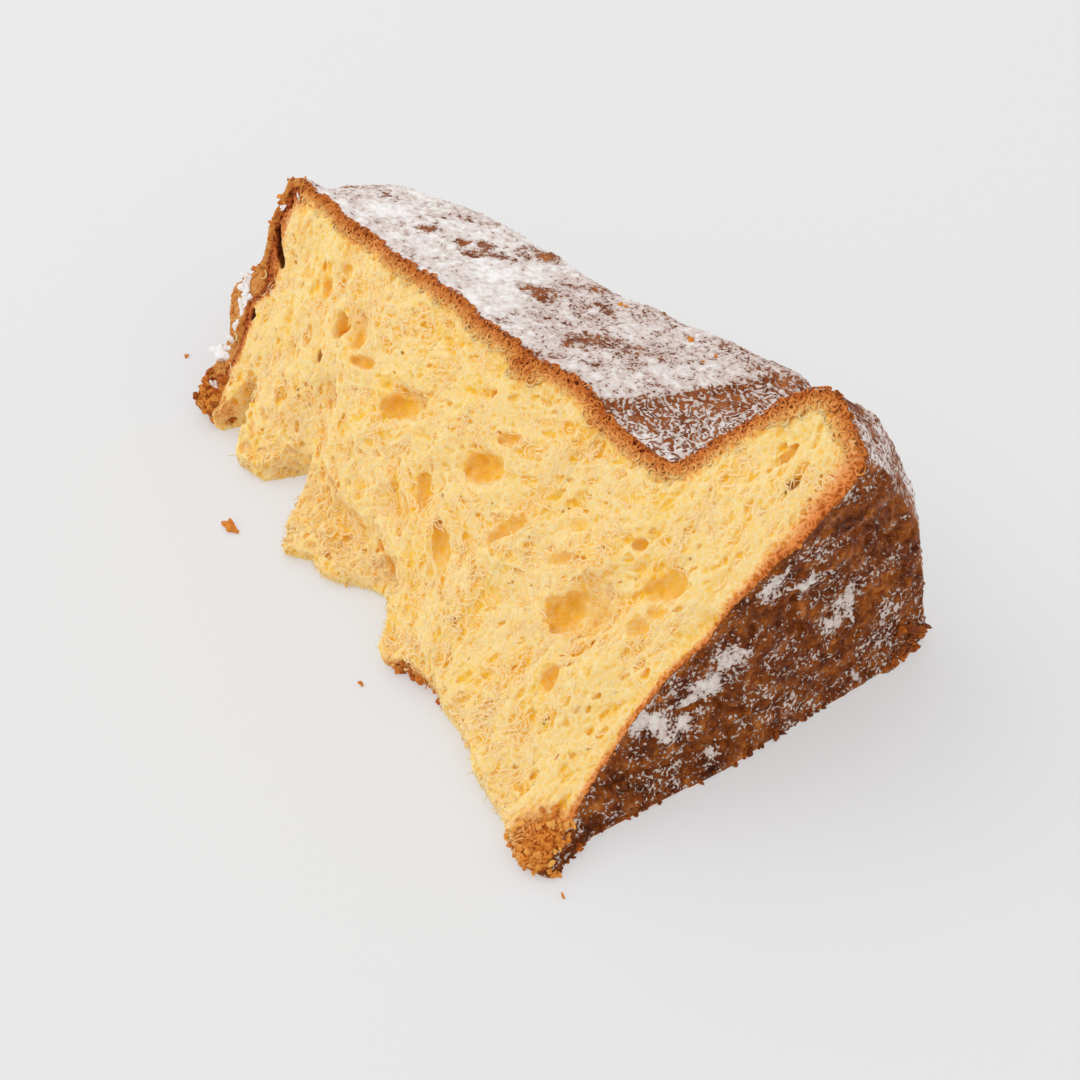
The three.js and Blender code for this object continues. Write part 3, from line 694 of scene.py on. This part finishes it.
rng = np.random.default_rng(7)
edge_of_crumb = np.min([far[name] for name in ("flank", "base", "top")], axis=0)
on_crumb = (skin == TORN) & (sunk > -1.2) & (points[:, 2] > 1.0)
chance = on_crumb * rise(4.0, 6.5, edge_of_crumb) * rise(6.5, 9.5, far["top"])
chance = chance * rise(-0.3, 0.6, waves(points, 8, 121) + 0.3) * (cracked(points) < -1.5)
start = points[rng.choice(len(points), THREADS, replace=False, p=chance / chance.sum())]
way = pull(start) + rng.normal(0, 0.4, start.shape)
way *= rng.choice([-1, 1], len(start))[:, None]
by_crust = 1 - rise(7, 14, read(from_skin["flank"], start))
curl_rate = rng.normal(0, 0.5, len(start))
curl_rate = curl_rate + by_crust * rng.choice([-1, 1], len(start)) * rng.uniform(0.6, 1.6, len(start))
path = drawn_out(start, way, rng.uniform(*THREAD_LENGTH, len(start)), curl_rate,
                 rng.uniform(0.05, 0.4, len(start)), 8, 0.2, rng)
over_hole = large_holes(path.reshape(-1, 3))[1].reshape(path.shape[:2])
path = path[over_hole[:, 1:-1].max(axis=1) < 0.5]
thread_piece("crumb_threads", *ribbons(path, rng.uniform(*THREAD_WIDTH, len(path))))

# Curls: threads of the browned band, which dried and rolled up beside the crust.
chance = (skin == TORN) * (1 - rise(2.0, 4.0, np.minimum(far["flank"], far["top"])))
chance = chance * (points[:, 2] > 1.0) * (sunk > -1.0) * rise(3.0, 4.0, far["top"])
start = points[rng.choice(len(points), CURLS, replace=False, p=chance / chance.sum())]
path = drawn_out(start, rng.normal(0, 1, start.shape), rng.uniform(*CURL_LENGTH, len(start)),
                 rng.choice([-1, 1], len(start)) * rng.uniform(0.8, 1.5, len(start)),
                 rng.uniform(0.0, 0.5, len(start)), 12, 0.1, rng)
inside = (read(from_skin["torn"], path.reshape(-1, 3)).reshape(path.shape[:2]) < 1.1).all(axis=1)
curl_points, curl_quads = tubes(path[inside], rng.uniform(*CURL_RADIUS, inside.sum()))
curl_normal = 0.5 * lean(curl_points, curl_quads) + 0.5 * slope(curl_points)
curl_normal = curl_normal / np.linalg.norm(curl_normal, axis=1)[:, None]
thread_piece("crust_curls", curl_points, curl_quads, curl_normal)

# Feathers: threads that snapped and stand out from the torn edge.
low_edge = (skin == TORN) & (points[:, 2] < 9) & (points[:, 2] > 0.8)
low_edge &= (points @ CUT_ACROSS < 24) & (normal[:, 1] < 0.1)
chance = low_edge * rise(1.5, 4.0, edge_of_crumb)
chosen = rng.choice(len(points), FEATHERS, replace=False, p=chance / chance.sum())
start = points[chosen] - 0.2 * normal[chosen]
way = normal[chosen] + rng.normal(0, 0.5, start.shape)
way /= np.linalg.norm(way, axis=1)[:, None]
sway = rng.normal(0, 0.35, start.shape)
length = rng.uniform(*FEATHER_LENGTH, len(start))
path = np.stack([start + length[:, None] * (t * way + t * t * sway) for t in np.linspace(0, 1, 6)], axis=1)
feather_points, feather_quads = tubes(path, rng.uniform(*FEATHER_RADIUS, len(start)))
thread_piece("edge_feathers", feather_points, feather_quads, lean(feather_points, feather_quads))


# The flank is the browned skin of the star point, baked against a fluted tin, then turned out and dusted
# thickly with icing sugar. Sugar lies on it in lumps of about a millimetre, thinner on a curly facet just
# above the base.
BARE_PATCHES = (                # mm, middles and half sizes of places where the skin shows, and how far
    ((46, 64, 46.5), (8, 5, 6), 1.0), ((48, 70, 45.5), (9, 6, 6), 1.0), ((50, 77, 44), (9, 6, 6), 1.0),
    ((52, 83, 42.5), (8, 6, 6), 1.0), ((10, 64, 42), (5, 4, 4), 0.9), ((31, 62, 46), (6, 4, 4), 0.9),
    ((29, 67, 44.6), (5, 4, 4), 0.8), ((27, 74, 42), (5, 4, 4), 0.8), ((72, 69, 47.5), (9, 6, 6), 0.6),
    ((86, 76, 47.5), (9, 8, 6), 0.4), ((100, 71, 51), (12, 8, 6), 0.35))
HOOP_AT_VALLEY, HOOP_AT_POINT = 119.0, 131.0    # mm along the axis, upper end of the facet
SUGAR_COVER, FACET_COVER, EDGE_COVER = 0.76, 0.5, 0.25          # share of the skin under sugar
SUGAR_LUMP = 1.5                # mm from one lump of the sugar's relief to the next


def near_edge(name, chosen, low, high):
    """From 0 at the edge of a skin to 1 further in, for the chosen points of that skin."""
    other = np.min([far[n][chosen] for n in names if n != name], axis=0)
    return rise(low, high, other - far[name][chosen])


def raise_skin(name, chosen, relief):
    """Moves the chosen points of a skin out by its relief, which fades at its edge, and not underground."""
    moved = np.where(fixed[chosen], 0, relief * near_edge(name, chosen, 0, 1.5))
    points[chosen] += moved[:, None] * normal[chosen]
    points[chosen, 2] = np.maximum(points[chosen, 2], 0)


def curly(at, length, turns, seed):
    """Winding ridges, as the contour lines of soft swells, from -1 to 1."""
    return np.sin(turns * waves(shaken(at, 0.4, 1.4, seed), length, seed + 5))


dust = np.zeros(len(points), np.float32)
curled = np.zeros(len(points), np.float32)

chosen = np.nonzero(skin == FLANK)[0]
at = points[chosen]
point_share = 1 - np.abs(np.degrees(np.arctan2(at[:, 2], at[:, 1])) / math.degrees(SLICE_ANGLE) - 0.5) * 2
hoop = HOOP_AT_VALLEY + (HOOP_AT_POINT - HOOP_AT_VALLEY) * point_share
facet = rise(-1.0, 1.0, at[:, 0] - hoop + waves(at, 3, 80)) * (1 - rise(148, 153, at[:, 0]))
ragged = at + np.stack([
    3.0 * waves(at, 6, 141 + n) + 1.5 * waves(at, 2.5, 144 + n) for n in range(3)], axis=1)
bare = np.max([share * patch(ragged, m, s) for m, s, share in BARE_PATCHES], axis=0)
bare *= rise(-0.9, 0.5, waves(at, 3.2, 147) + 0.6 * waves(at, 1.4, 148))
cover = SUGAR_COVER - 0.5 * bare - 0.1 * rise(55, 85, at[:, 0])
cover = cover + 0.14 * waves(at, 9, 87) + 0.12 * waves(at, 4, 85)
to_ledge = rise(hoop, hoop + 20, at[:, 0])
cover = cover * (1 - facet) + facet * (FACET_COVER + 0.26 * to_ledge + 0.1 * waves(at, 6, 88))
cover -= 0.2 * rise(156, 166, at[:, 0]) * rise(-0.4, 0.4, waves(at, 7, 89))
near, _, roll = bubbles(shaken(at, 0.3, 1.5, 76) / SUGAR_LUMP, 79)
lumps = 0.7 * (1 - near / 0.6) * roll + 0.25 * waves(at, 0.9, 86)
wrinkles = 0.25 * waves(at, 6, 81) + 0.3 * (1 - 2 * np.abs(waves(at, 2.4, 82))) + 0.15 * waves(at, 1.0, 83)
curls = 0.28 * curly(at, 3.4, 9.0, 90)
thick = rise(0.35, 0.9, cover + 0.25 * waves(at, 1.8, 84))
relief = (wrinkles - 0.2) * (1 - 0.5 * thick) + thick * (0.25 + lumps) * (1 - facet) + facet * curls
raise_skin("flank", chosen, relief)
dusted = cover - facet * (0.06 + 0.1 * to_ledge)
inward = near_edge("flank", chosen, -0.4, 0.7)
dust[chosen] = dusted * inward + (1 - inward) * EDGE_COVER
curled[chosen] = np.maximum(0.55 * facet, 0.4 * rise(152, 158, at[:, 0]))


DUST_WIGGLE, DUST_GRAIN, DUST_LUMP, DUST_PATCH, DUST_CURL = 1.5, 0.75, 1.9, 5.0, 3.0        # mm


def dusted_crust(name, crust_stops, thin_and_shaded_sugar, thick_sugar, gloss):
    """Baked skin under icing sugar: dust collects on the wrinkles and leaves the brown skin between them."""
    material = bpy.data.materials.new(name)
    material.use_nodes = True
    tree = material.node_tree
    tree.nodes.clear()
    place = add(tree, "TexCoord").outputs["Object"]
    cover = add(tree, "Attribute", attribute_name="dust").outputs["Fac"]
    curled = add(tree, "Attribute", attribute_name="curled").outputs["Fac"]
    jitter = add(tree, "TexNoise", {
        "Vector": place, "Scale": 1000 / DUST_WIGGLE, "Detail": 1.0}).outputs["Color"]
    wiggle = add(tree, "VectorMath", {0: jitter, 1: (0.5, 0.5, 0.5)}, operation="SUBTRACT").outputs[0]
    curled_place = add(tree, "VectorMath", {0: wiggle, 1: (0.0016,) * 3, 2: place},
                       operation="MULTIPLY_ADD").outputs[0]
    fine = add(tree, "TexNoise", {"Vector": place, "Scale": 1000 / DUST_GRAIN, "Detail": 3.0}).outputs["Fac"]
    lumps = add(tree, "TexNoise", {"Vector": place, "Scale": 1000 / DUST_LUMP, "Detail": 2.0}).outputs["Fac"]
    wide = add(tree, "TexNoise", {"Vector": place, "Scale": 1000 / DUST_PATCH, "Detail": 2.0}).outputs["Fac"]
    swirl = add(tree, "TexNoise", {
        "Vector": curled_place, "Scale": 1000 / DUST_CURL, "Detail": 0.5}).outputs["Fac"]
    swirl_turn = add(tree, "Math", {0: swirl, 1: 32.0}, operation="MULTIPLY").outputs[0]
    swirl_line = add(tree, "Math", {0: swirl_turn}, operation="SINE").outputs[0]
    curl = add(tree, "MapRange", {"Value": swirl_line, "From Min": -1.0, "From Max": 1.0}).outputs[0]
    pattern = add(tree, "Mix", {0: curled, 2: lumps, 3: curl}).outputs[0]
    loaded = add(tree, "Math", {0: pattern, 1: 0.7, 2: cover}, operation="MULTIPLY_ADD").outputs[0]
    level = add(tree, "Math", {0: fine, 1: 1.2, 2: loaded}, operation="MULTIPLY_ADD").outputs[0]
    mask = add(tree, "MapRange", {"Value": level, "From Min": 1.37, "From Max": 1.5},
               interpolation_type="SMOOTHSTEP").outputs[0]
    # Where the sugar is heaped less it takes the thin sugar colour: thinner dust, and also painted shade
    # between the lumps.
    heaped = add(tree, "Math", {0: fine, 1: 0.35, 2: loaded}, operation="MULTIPLY_ADD").outputs[0]
    heap = add(tree, "MapRange", {"Value": heaped, "From Min": 1.02, "From Max": 1.45}).outputs[0]
    shade_small = add(tree, "Math", {0: fine, 1: 0.5, 2: wide}, operation="MULTIPLY_ADD").outputs[0]
    shade = add(tree, "Math", {0: lumps, 1: 0.6, 2: shade_small}, operation="MULTIPLY_ADD").outputs[0]
    shade_range = add(tree, "MapRange", {"Value": shade, "From Min": 0.72, "From Max": 1.38}).outputs[0]
    crust_colour = add(tree, "ValToRGB", {"Fac": shade_range}, stops=crust_stops).outputs[0]
    sugar_colour = add(tree, "Mix", {0: heap, 6: linear(thin_and_shaded_sugar), 7: linear(thick_sugar)},
                       data_type="RGBA").outputs[2]
    colour = add(tree, "Mix", {0: mask, 6: crust_colour, 7: sugar_colour}, data_type="RGBA").outputs[2]
    grains = add(tree, "Math", {0: fine, 1: 0.3, 2: mask}, operation="MULTIPLY_ADD").outputs[0]
    height = add(tree, "Math", {0: pattern, 1: 0.8, 2: grains}, operation="MULTIPLY_ADD").outputs[0]
    bump = add(tree, "Bump", {"Height": height, "Strength": 0.8, "Distance": 0.0004}).outputs[0]
    rough = add(tree, "MapRange", {"Value": mask, "To Min": gloss, "To Max": 0.9}).outputs[0]
    shader = add(tree, "BsdfPrincipled", {
        "Base Color": colour, "Roughness": rough, "IOR": 1.45, "Specular IOR Level": 0.1, "Normal": bump})
    add(tree, "OutputMaterial", {"Surface": shader.outputs[0]})
    return material


# Warm brown skin that faced the tin, under chalky white sugar that hides it but for specks and patches.
sugared_flank = dusted_crust("sugared_flank", (
    (0.0, "#5A2810"), (1.0, "#C67E42"), (0.4, "#8E4A22"), (0.7, "#A8602E")), "#BFA294", "#F7F3F1", 0.5)

# The base is the flat end of the loaf, the skin that rose above the tin: dark, pebbled and a little glossy.
# Sugar was rubbed off it but for smears, specks and what sits in its wrinkles.
SMEARS = (                      # mm, middles and half sizes of the smears of sugar
    ((180, 55.4, 51.2), (9, 5, 7)), ((178.6, 46, 31), (9, 8, 10)), ((178, 40, 26), (9, 7, 6)),
    ((178, 36, 20), (9, 12, 7)), ((177.5, 29, 22), (9, 8, 6)), ((177.6, 74, 31), (9, 9, 8)),
    ((180, 62, 45), (9, 6, 6)))
CREASES = (                     # mm out and up at both ends of the folds in its skin
    (34.5, 22.5, 59, 14), (46.5, 15.5, 48.6, 4), (14, 12, 46, 9), (59, 44, 70, 20), (70, 60, 92, 40))
PEBBLE, PLATE = 2.8, 2.1        # mm from one to the next
BASE_COVER = 0.3                # share of it that sugar would cover if it lay evenly
chosen = np.nonzero(skin == BASE)[0]
at = points[chosen]
near, _, roll = bubbles(at / PEBBLE, 91)
pebbles = 0.4 * (1 - (near / 0.6) ** 2) * roll + 0.25 * waves(at, 1.4, 95)
pebbles = pebbles + 0.3 * curly(at, 4.0, 8.0, 96) + 0.4 * waves(at, 4.5, 94)
near, second, roll = bubbles(shaken(at, 0.5, 2, 161) / PLATE, 164)
pebbles += 0.6 * roll * rise(0.0, 0.2, second - near)
ragged = at + np.stack([
    2.2 * waves(at, 5, 151 + n) + 1.2 * waves(at, 2.2, 154 + n) for n in range(3)], axis=1)
smear = np.max([patch(ragged, m, s) for m, s in SMEARS], axis=0) * rise(-0.9, 0.4, waves(at, 3, 97))
fold = np.full(len(at), 9, np.float32)
for y, z, end_y, end_z in CREASES:
    run, climb = end_y - y, end_z - z
    part = np.clip(((ragged[:, 1] - y) * run + (ragged[:, 2] - z) * climb) / (run ** 2 + climb ** 2), 0, 1)
    fold = np.minimum(fold, np.hypot(ragged[:, 1] - y - part * run, ragged[:, 2] - z - part * climb))
folded = 1 - rise(0.2, 1.1, fold)
# The folds are sunk, and less sugar is left in them so that they show dark brown, painted as their shade.
cover = BASE_COVER + 0.38 * smear + 0.2 * waves(at, 7, 98) + 0.18 * waves(at, 2.4, 99) - 0.4 * folded
raise_skin("base", chosen, pebbles - 0.4 - 0.9 * folded)
dust[chosen] = cover
curled[chosen] = 0.5 - 0.4 * smear
# Dark brown skin with a dull shine, and thin sugar in its wrinkles, painted greyish as thin dust and as
# shade.
dark_base = dusted_crust("dark_base", (
    (0.0, "#3C1402"), (1.0, "#C67630"), (0.4, "#74350A"), (0.7, "#985016")), "#CDB8AC", "#F2E9E4", 0.35)

# The narrow top is a thin caramel-coloured skin, cracked and craggy, with spots of sugar. It bulged in the
# bottom of the tin and broke away from the crumb behind it.
TOP_COVER = 0.34                # share of it that sugar would cover if it lay evenly
chosen = np.nonzero(skin == TOP)[0]
at = points[chosen]
crags_up = 0.9 * waves(at, 4.5, 101) + 0.5 * waves(at, 2.0, 102) + 0.2 * waves(at, 1.0, 105)
raise_skin("top", chosen, crags_up)
dust[chosen] = TOP_COVER + 0.3 * waves(at, 5, 103) + 0.45 * rise(62, 74, np.hypot(at[:, 1], at[:, 2]))
curled[chosen] = 0.25
# Caramel skin, paler and thinner than the base's, with spots of sugar.
caramel_top = dusted_crust("caramel_top", (
    (0.0, "#5C2A0E"), (1.0, "#DCA468"), (0.4, "#9C5422"), (0.7, "#C07A3A")), "#D2BFB0", "#F2ECE8", 0.45)

# The crusts are cut apart where the skins meet. The flank is in two, along the ridge of the star point, and
# the half that faces the floor needs fewer faces.
LOWER_FLANK_FACES = 0.3         # share of them that is kept
FLANK_RADIUS = 85               # mm, where the flank is laid flat
normal = lean(points, quads)
round_angle = np.arctan2(points[:, 2], points[:, 1])
upper = round_angle[quads[:, 0]] > SLICE_ANGLE / 2
crust_values = {"dust": dust, "curled": curled}
flank_flat, end_flat = (points[:, 0], round_angle * FLANK_RADIUS), (points[:, 1], points[:, 2])
for name, chosen, flat, material, slot in (
        ("flank_crust_upper", (quad_skin == FLANK) & upper, flank_flat, sugared_flank, "sugar"),
        ("flank_crust_lower", (quad_skin == FLANK) & ~upper, flank_flat, sugared_flank, "sugar"),
        ("base_crust", quad_skin == BASE, end_flat, dark_base, "crust"),
        ("top_crust", quad_skin == TOP, end_flat, caramel_top, "crust")):
    piece = skin_piece(name, points, quads[chosen], normal, *flat, crust_values)
    piece.data.materials.append(material)
    if name == "flank_crust_lower":
        piece.modifiers.new("fewer", "DECIMATE").ratio = LOWER_FLANK_FACES
    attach(piece, "root")
    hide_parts("pandoro_slice")


# Crags are crumbs of crust and sponge that broke up along the edges when the slice was cut, and cling
# there. Each is a knobbly lump of half a millimetre to two, sunk partly into the edge that carries it.
BROKEN_GRIT = 0.6               # mm, roughness of a fresh break


def knobbly(count, detail):
    """Lumps of that many, each a dented ball turned its own way, and the triangles of one of them."""
    ball = bmesh.new()
    bmesh.ops.create_icosphere(ball, subdivisions=detail, radius=1.0)
    round_points = np.array([v.co for v in ball.verts], np.float32)
    round_faces = np.array([[v.index for v in f.verts] for f in ball.faces], np.int64)
    ball.free()
    drawn = np.random.default_rng(count)
    lumps = []
    for number in range(count):
        offset = np.array([17.0 * number, 5.0, 3.0], np.float32)
        dents = 0.7 * waves(round_points + offset, 0.9, 131)
        stand = 1 + dents + 0.4 * waves(round_points + offset, 0.45, 132)
        turn = np.linalg.qr(drawn.normal(0, 1, (3, 3)))[0]
        squash = drawn.uniform((0.45, 0.6, 0.9), (0.8, 1.0, 1.3))
        lumps.append((round_points * stand[:, None] * squash) @ turn)
    return np.array(lumps, np.float32), round_faces


def lump_piece(name, middles, sizes, values, detail, material):
    """Knobbly lumps of those sizes at those middles, as one mesh in metres."""
    lumps, round_faces = knobbly(len(middles), detail)
    lump_points = (lumps * sizes[:, None, None] + middles[:, None]).reshape(-1, 3).astype(np.float32)
    lump_points[:, 2] = np.maximum(lump_points[:, 2], 0.0)
    step = lumps.shape[1]
    lump_faces = (round_faces[None] + (np.arange(len(middles)) * step)[:, None, None]).reshape(-1, 3)
    closed = np.concatenate([lump_faces, lump_faces[:, :1]], axis=1)
    spread = {key: np.repeat(value, step) for key, value in values.items()}
    piece = skin_piece(name, lump_points, lump_faces, lean(lump_points, closed),
                       lump_points[:, 0], lump_points[:, 1] + lump_points[:, 2], spread)
    piece.data.materials.append(material)
    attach(piece, "root")


# Broken crust: orange and rough where the break is fresh, darker on the side that was skin.
broken_crust = bpy.data.materials.new("broken_crust")
broken_crust.use_nodes = True
tree = broken_crust.node_tree
tree.nodes.clear()
place = add(tree, "TexCoord").outputs["Object"]
toast_share = add(tree, "Attribute", attribute_name="toast").outputs["Fac"]
fine = add(tree, "TexNoise", {"Vector": place, "Scale": 1000 / BROKEN_GRIT, "Detail": 3.0}).outputs["Fac"]
toast_level = add(tree, "Math", {0: fine, 1: 0.5, 2: toast_share}, operation="MULTIPLY_ADD").outputs[0]
toast_range = add(tree, "MapRange", {"Value": toast_level, "From Min": 0.2, "From Max": 1.3}).outputs[0]
toast_colour = add(tree, "ValToRGB", {"Fac": toast_range}, stops=(
    (0.0, "#F8D899"), (1.0, "#54260F"), (0.15, "#F2B860"), (0.35, "#E08C34"), (0.6, "#BC641C"),
    (0.8, "#8A4212"))).outputs[0]
bump = add(tree, "Bump", {"Height": fine, "Strength": 0.7, "Distance": 0.0003}).outputs[0]
shader = add(tree, "BsdfPrincipled", {
    "Base Color": toast_colour, "Roughness": 0.6, "IOR": 1.45, "Specular IOR Level": 0.2,
    "Subsurface Weight": 0.2, "Subsurface Radius": (0.8, 0.5, 0.2), "Subsurface Scale": 0.0006,
    "Normal": bump})
add(tree, "OutputMaterial", {"Surface": shader.outputs[0]})

CRAG_DETAIL = 3                 # times that the ball of each lump is divided
TIP, LEFT_CORNER, TORN_STEP = (180, 2, 3), (15, 7, 4), 126      # mm, where the edge crumbled most
rng = np.random.default_rng(11)
above, low_down = points[:, 2] > 1.0, points[:, 2] < 5
by_tip, by_corner = (np.linalg.norm(points - spot, axis=1) for spot in (TIP, LEFT_CORNER))
by_step = (np.abs(points[:, 0] - TORN_STEP) < 9) & (points[:, 1] < 8)
middles, sizes, toasts = [], [], []
for where, count, small, large, least, most in (        # how many, half sizes in mm, and how toasted
        ((far["top"] < 1.2) & (far["torn"] < 1.2) & (points[:, 2] > 4), 24, 0.3, 0.7, 0.3, 0.6),
        ((far["flank"] < 0.8) & (far["torn"] < 0.8) & above, 110, 0.25, 0.55, 0.45, 0.8),
        ((far["base"] < 0.8) & (far["torn"] < 0.8) & above, 40, 0.2, 0.4, 0.4, 0.7),
        ((far["base"] < 1.2) & (points[:, 2] < 2.5), 70, 0.35, 0.9, 0.6, 1.0),
        ((far["base"] < 2.0) & (points[:, 2] < 12) & (points[:, 1] > 92), 44, 0.4, 1.6, 0.6, 0.95),
        ((by_tip < 9) & (far["torn"] < 1.5), 70, 0.3, 0.9, 0.15, 0.45),
        ((by_corner < 8) & (points[:, 2] > 0.5), 40, 0.4, 1.2, 0.4, 0.8),
        (by_step & low_down & (skin == TORN), 22, 0.4, 1.0, 0.35, 0.65),
        ((skin == TORN) & low_down & (edge_of_crumb > 5) & (normal[:, 1] < 0.0), 50, 0.3, 0.6, -0.1, 0.1)):
    picked = rng.choice(np.nonzero(where)[0], count, replace=False)
    size = rng.uniform(small, large, count)
    middles.append(points[picked] + (0.3 * size)[:, None] * normal[picked])
    sizes.append(size)
    toasts.append(rng.uniform(least, most, count))
lump_piece("edge_crags", np.concatenate(middles), np.concatenate(sizes), {"toast": np.concatenate(toasts)},
           CRAG_DETAIL, broken_crust)

# Lumps of icing sugar that were caught behind the cracked skin of the narrow top. They are pressed powder,
# with the same chalky look as the flank.
SUGAR_LUMPS = (                 # mm along the axis, out from it, and half size
    (4.4, 35.3, 2.2), (3.0, 37.2, 1.8), (5.6, 33.2, 1.6), (6.4, 30.8, 1.8), (8.6, 26.4, 1.4),
    (9.7, 22.7, 1.5), (9.5, 18.1, 2.2), (10.6, 20.2, 1.3), (14.2, 11.0, 1.5), (-3.0, 56.5, 0.8),
    (0.0, 61.5, 0.8), (-1.5, 44.5, 0.7))
LUMP_DETAIL = 4                 # times that the ball of each lump is divided
lump_at = np.array([(x, 0, 0) for x, r, size in SUGAR_LUMPS])
lump_at = lump_at + np.outer([r for x, r, size in SUGAR_LUMPS], CUT_ACROSS)
nearest = [int(np.argmin(np.linalg.norm(points - spot, axis=1))) for spot in lump_at]
sizes = np.array([size for x, r, size in SUGAR_LUMPS])
lump_piece("sugar_lumps", points[nearest] - 0.1 * sizes[:, None] * CUT_DOWN, sizes,
           {"dust": np.full(len(sizes), 0.95), "curled": np.zeros(len(sizes))},
           LUMP_DETAIL, sugared_flank)

# Loose crumbs of crust: a few fell on the sugar of the flank, and some lie by the slice where it was put
# down.
ON_FLANK = (                    # mm, place on the flank, and half size
    (84.0, 83.7, 46.0, 0.75), (85.2, 84.4, 45.9, 0.5), (105.7, 88.0, 48.3, 0.8), (107.0, 87.0, 48.6, 0.6),
    (115.2, 87.9, 49.7, 0.5), (115.6, 84.2, 50.3, 0.5))
ON_FLOOR = (                    # mm, place along and out from the axis, and half size
    (56.6, -9.5, 1.5), (58.6, -9.2, 0.7), (118.0, -7.3, 0.8), (-10.4, 9.6, 0.6), (189.3, -0.5, 0.6),
    (17.9, 3.7, 0.5))
TOAST_ON_FLANK, TOAST_ON_FLOOR = 0.3, 0.4
nearest = [int(np.argmin(np.linalg.norm(points - np.array(spot[:3]), axis=1))) for spot in ON_FLANK]
middles = [points[n] + 0.2 * normal[n] for n in nearest]
middles += [np.array([x, y, 0.6 * size]) for x, y, size in ON_FLOOR]
sizes = [spot[-1] for spot in ON_FLANK + ON_FLOOR]
toasts = [TOAST_ON_FLANK] * len(ON_FLANK) + [TOAST_ON_FLOOR] * len(ON_FLOOR)
lump_piece("loose_crumbs", np.array(middles), np.array(sizes), {"toast": np.array(toasts)},
           LUMP_DETAIL, broken_crust)


# The floor is pale card that glows a little, as on a light table, so that shadows on it stay faint. It is
# only there for the picture and is no part of the slice.
FLOOR_HALF = 3                  # m, from its middle to a side
floor_mesh = bpy.data.meshes.new("floor")
floor_corners = [(x * FLOOR_HALF, y * FLOOR_HALF, 0) for x, y in ((-1, -1), (1, -1), (1, 1), (-1, 1))]
floor_mesh.from_pydata(floor_corners, [], [(0, 1, 2, 3)])
floor = bpy.data.objects.new("floor", floor_mesh)
bpy.context.scene.collection.objects.link(floor)
pale_card = bpy.data.materials.new("pale_card")
pale_card.use_nodes = True
for socket, value in (("Base Color", linear("#AAAAAA")), ("Roughness", 0.95),
                      ("Emission Color", (1, 1, 1, 1)), ("Emission Strength", 0.39)):
    pale_card.node_tree.nodes["Principled BSDF"].inputs[socket].default_value = value
floor_mesh.materials.append(pale_card)


# Soft studio light: an even pale room and one broad lamp from the upper left, so that the crumb is lit from
# all sides and only the base lies a little in shade.
ROOM_STRENGTH = 0.88
world = bpy.data.worlds.new("pale_room")
world.use_nodes = True
world.node_tree.nodes["Background"].inputs["Color"].default_value = (1, 1, 1, 1)
world.node_tree.nodes["Background"].inputs["Strength"].default_value = ROOM_STRENGTH
bpy.context.scene.world = world

# The camera looks down on the torn face from the side of the base, as the photograph was taken. Its place
# and lens were fitted to the outline of the slice.
CAMERA_AZIMUTH, CAMERA_ELEVATION = math.radians(57.42), math.radians(43.67)
CAMERA_FAR = 0.401              # m from what it looks at
FOCAL_LENGTH = 1825.46 / 1080   # of the width of the image
SENSOR_WIDTH = 36               # mm
LAMP_SIZE, LAMP_POWER = 1.2, 4  # m and W
LAMP_LEFT, LAMP_UP, LAMP_BACK = 0.7, 1.1, 0.2           # m from what the camera looks at
aim = Vector((0.0336, -0.01617, 0.025))
toward_camera = Vector((math.sin(CAMERA_AZIMUTH) * math.cos(CAMERA_ELEVATION),
                        -math.cos(CAMERA_AZIMUTH) * math.cos(CAMERA_ELEVATION), math.sin(CAMERA_ELEVATION)))
to_right = Vector((math.cos(CAMERA_AZIMUTH), math.sin(CAMERA_AZIMUTH), 0))

lamp = bpy.data.objects.new("broad_lamp", bpy.data.lights.new("broad_lamp", "AREA"))
lamp.data.shape = "DISK"
lamp.data.size = LAMP_SIZE
lamp.data.energy = LAMP_POWER
lamp.location = aim - to_right * LAMP_LEFT + Vector((0, 0, LAMP_UP)) - Vector((LAMP_BACK, 0.0, 0))
lamp.rotation_euler = (lamp.location - aim).to_track_quat("Z", "Y").to_euler()
bpy.context.scene.collection.objects.link(lamp)

camera = bpy.data.objects.new("camera", bpy.data.cameras.new("camera"))
camera.data.sensor_width = SENSOR_WIDTH
camera.data.lens = SENSOR_WIDTH * FOCAL_LENGTH
camera.location = aim + toward_camera * CAMERA_FAR
camera.rotation_euler = toward_camera.to_track_quat("Z", "Y").to_euler()
bpy.context.scene.collection.objects.link(camera)
bpy.context.scene.camera = camera
bpy.context.scene.view_settings.view_transform = "Standard"
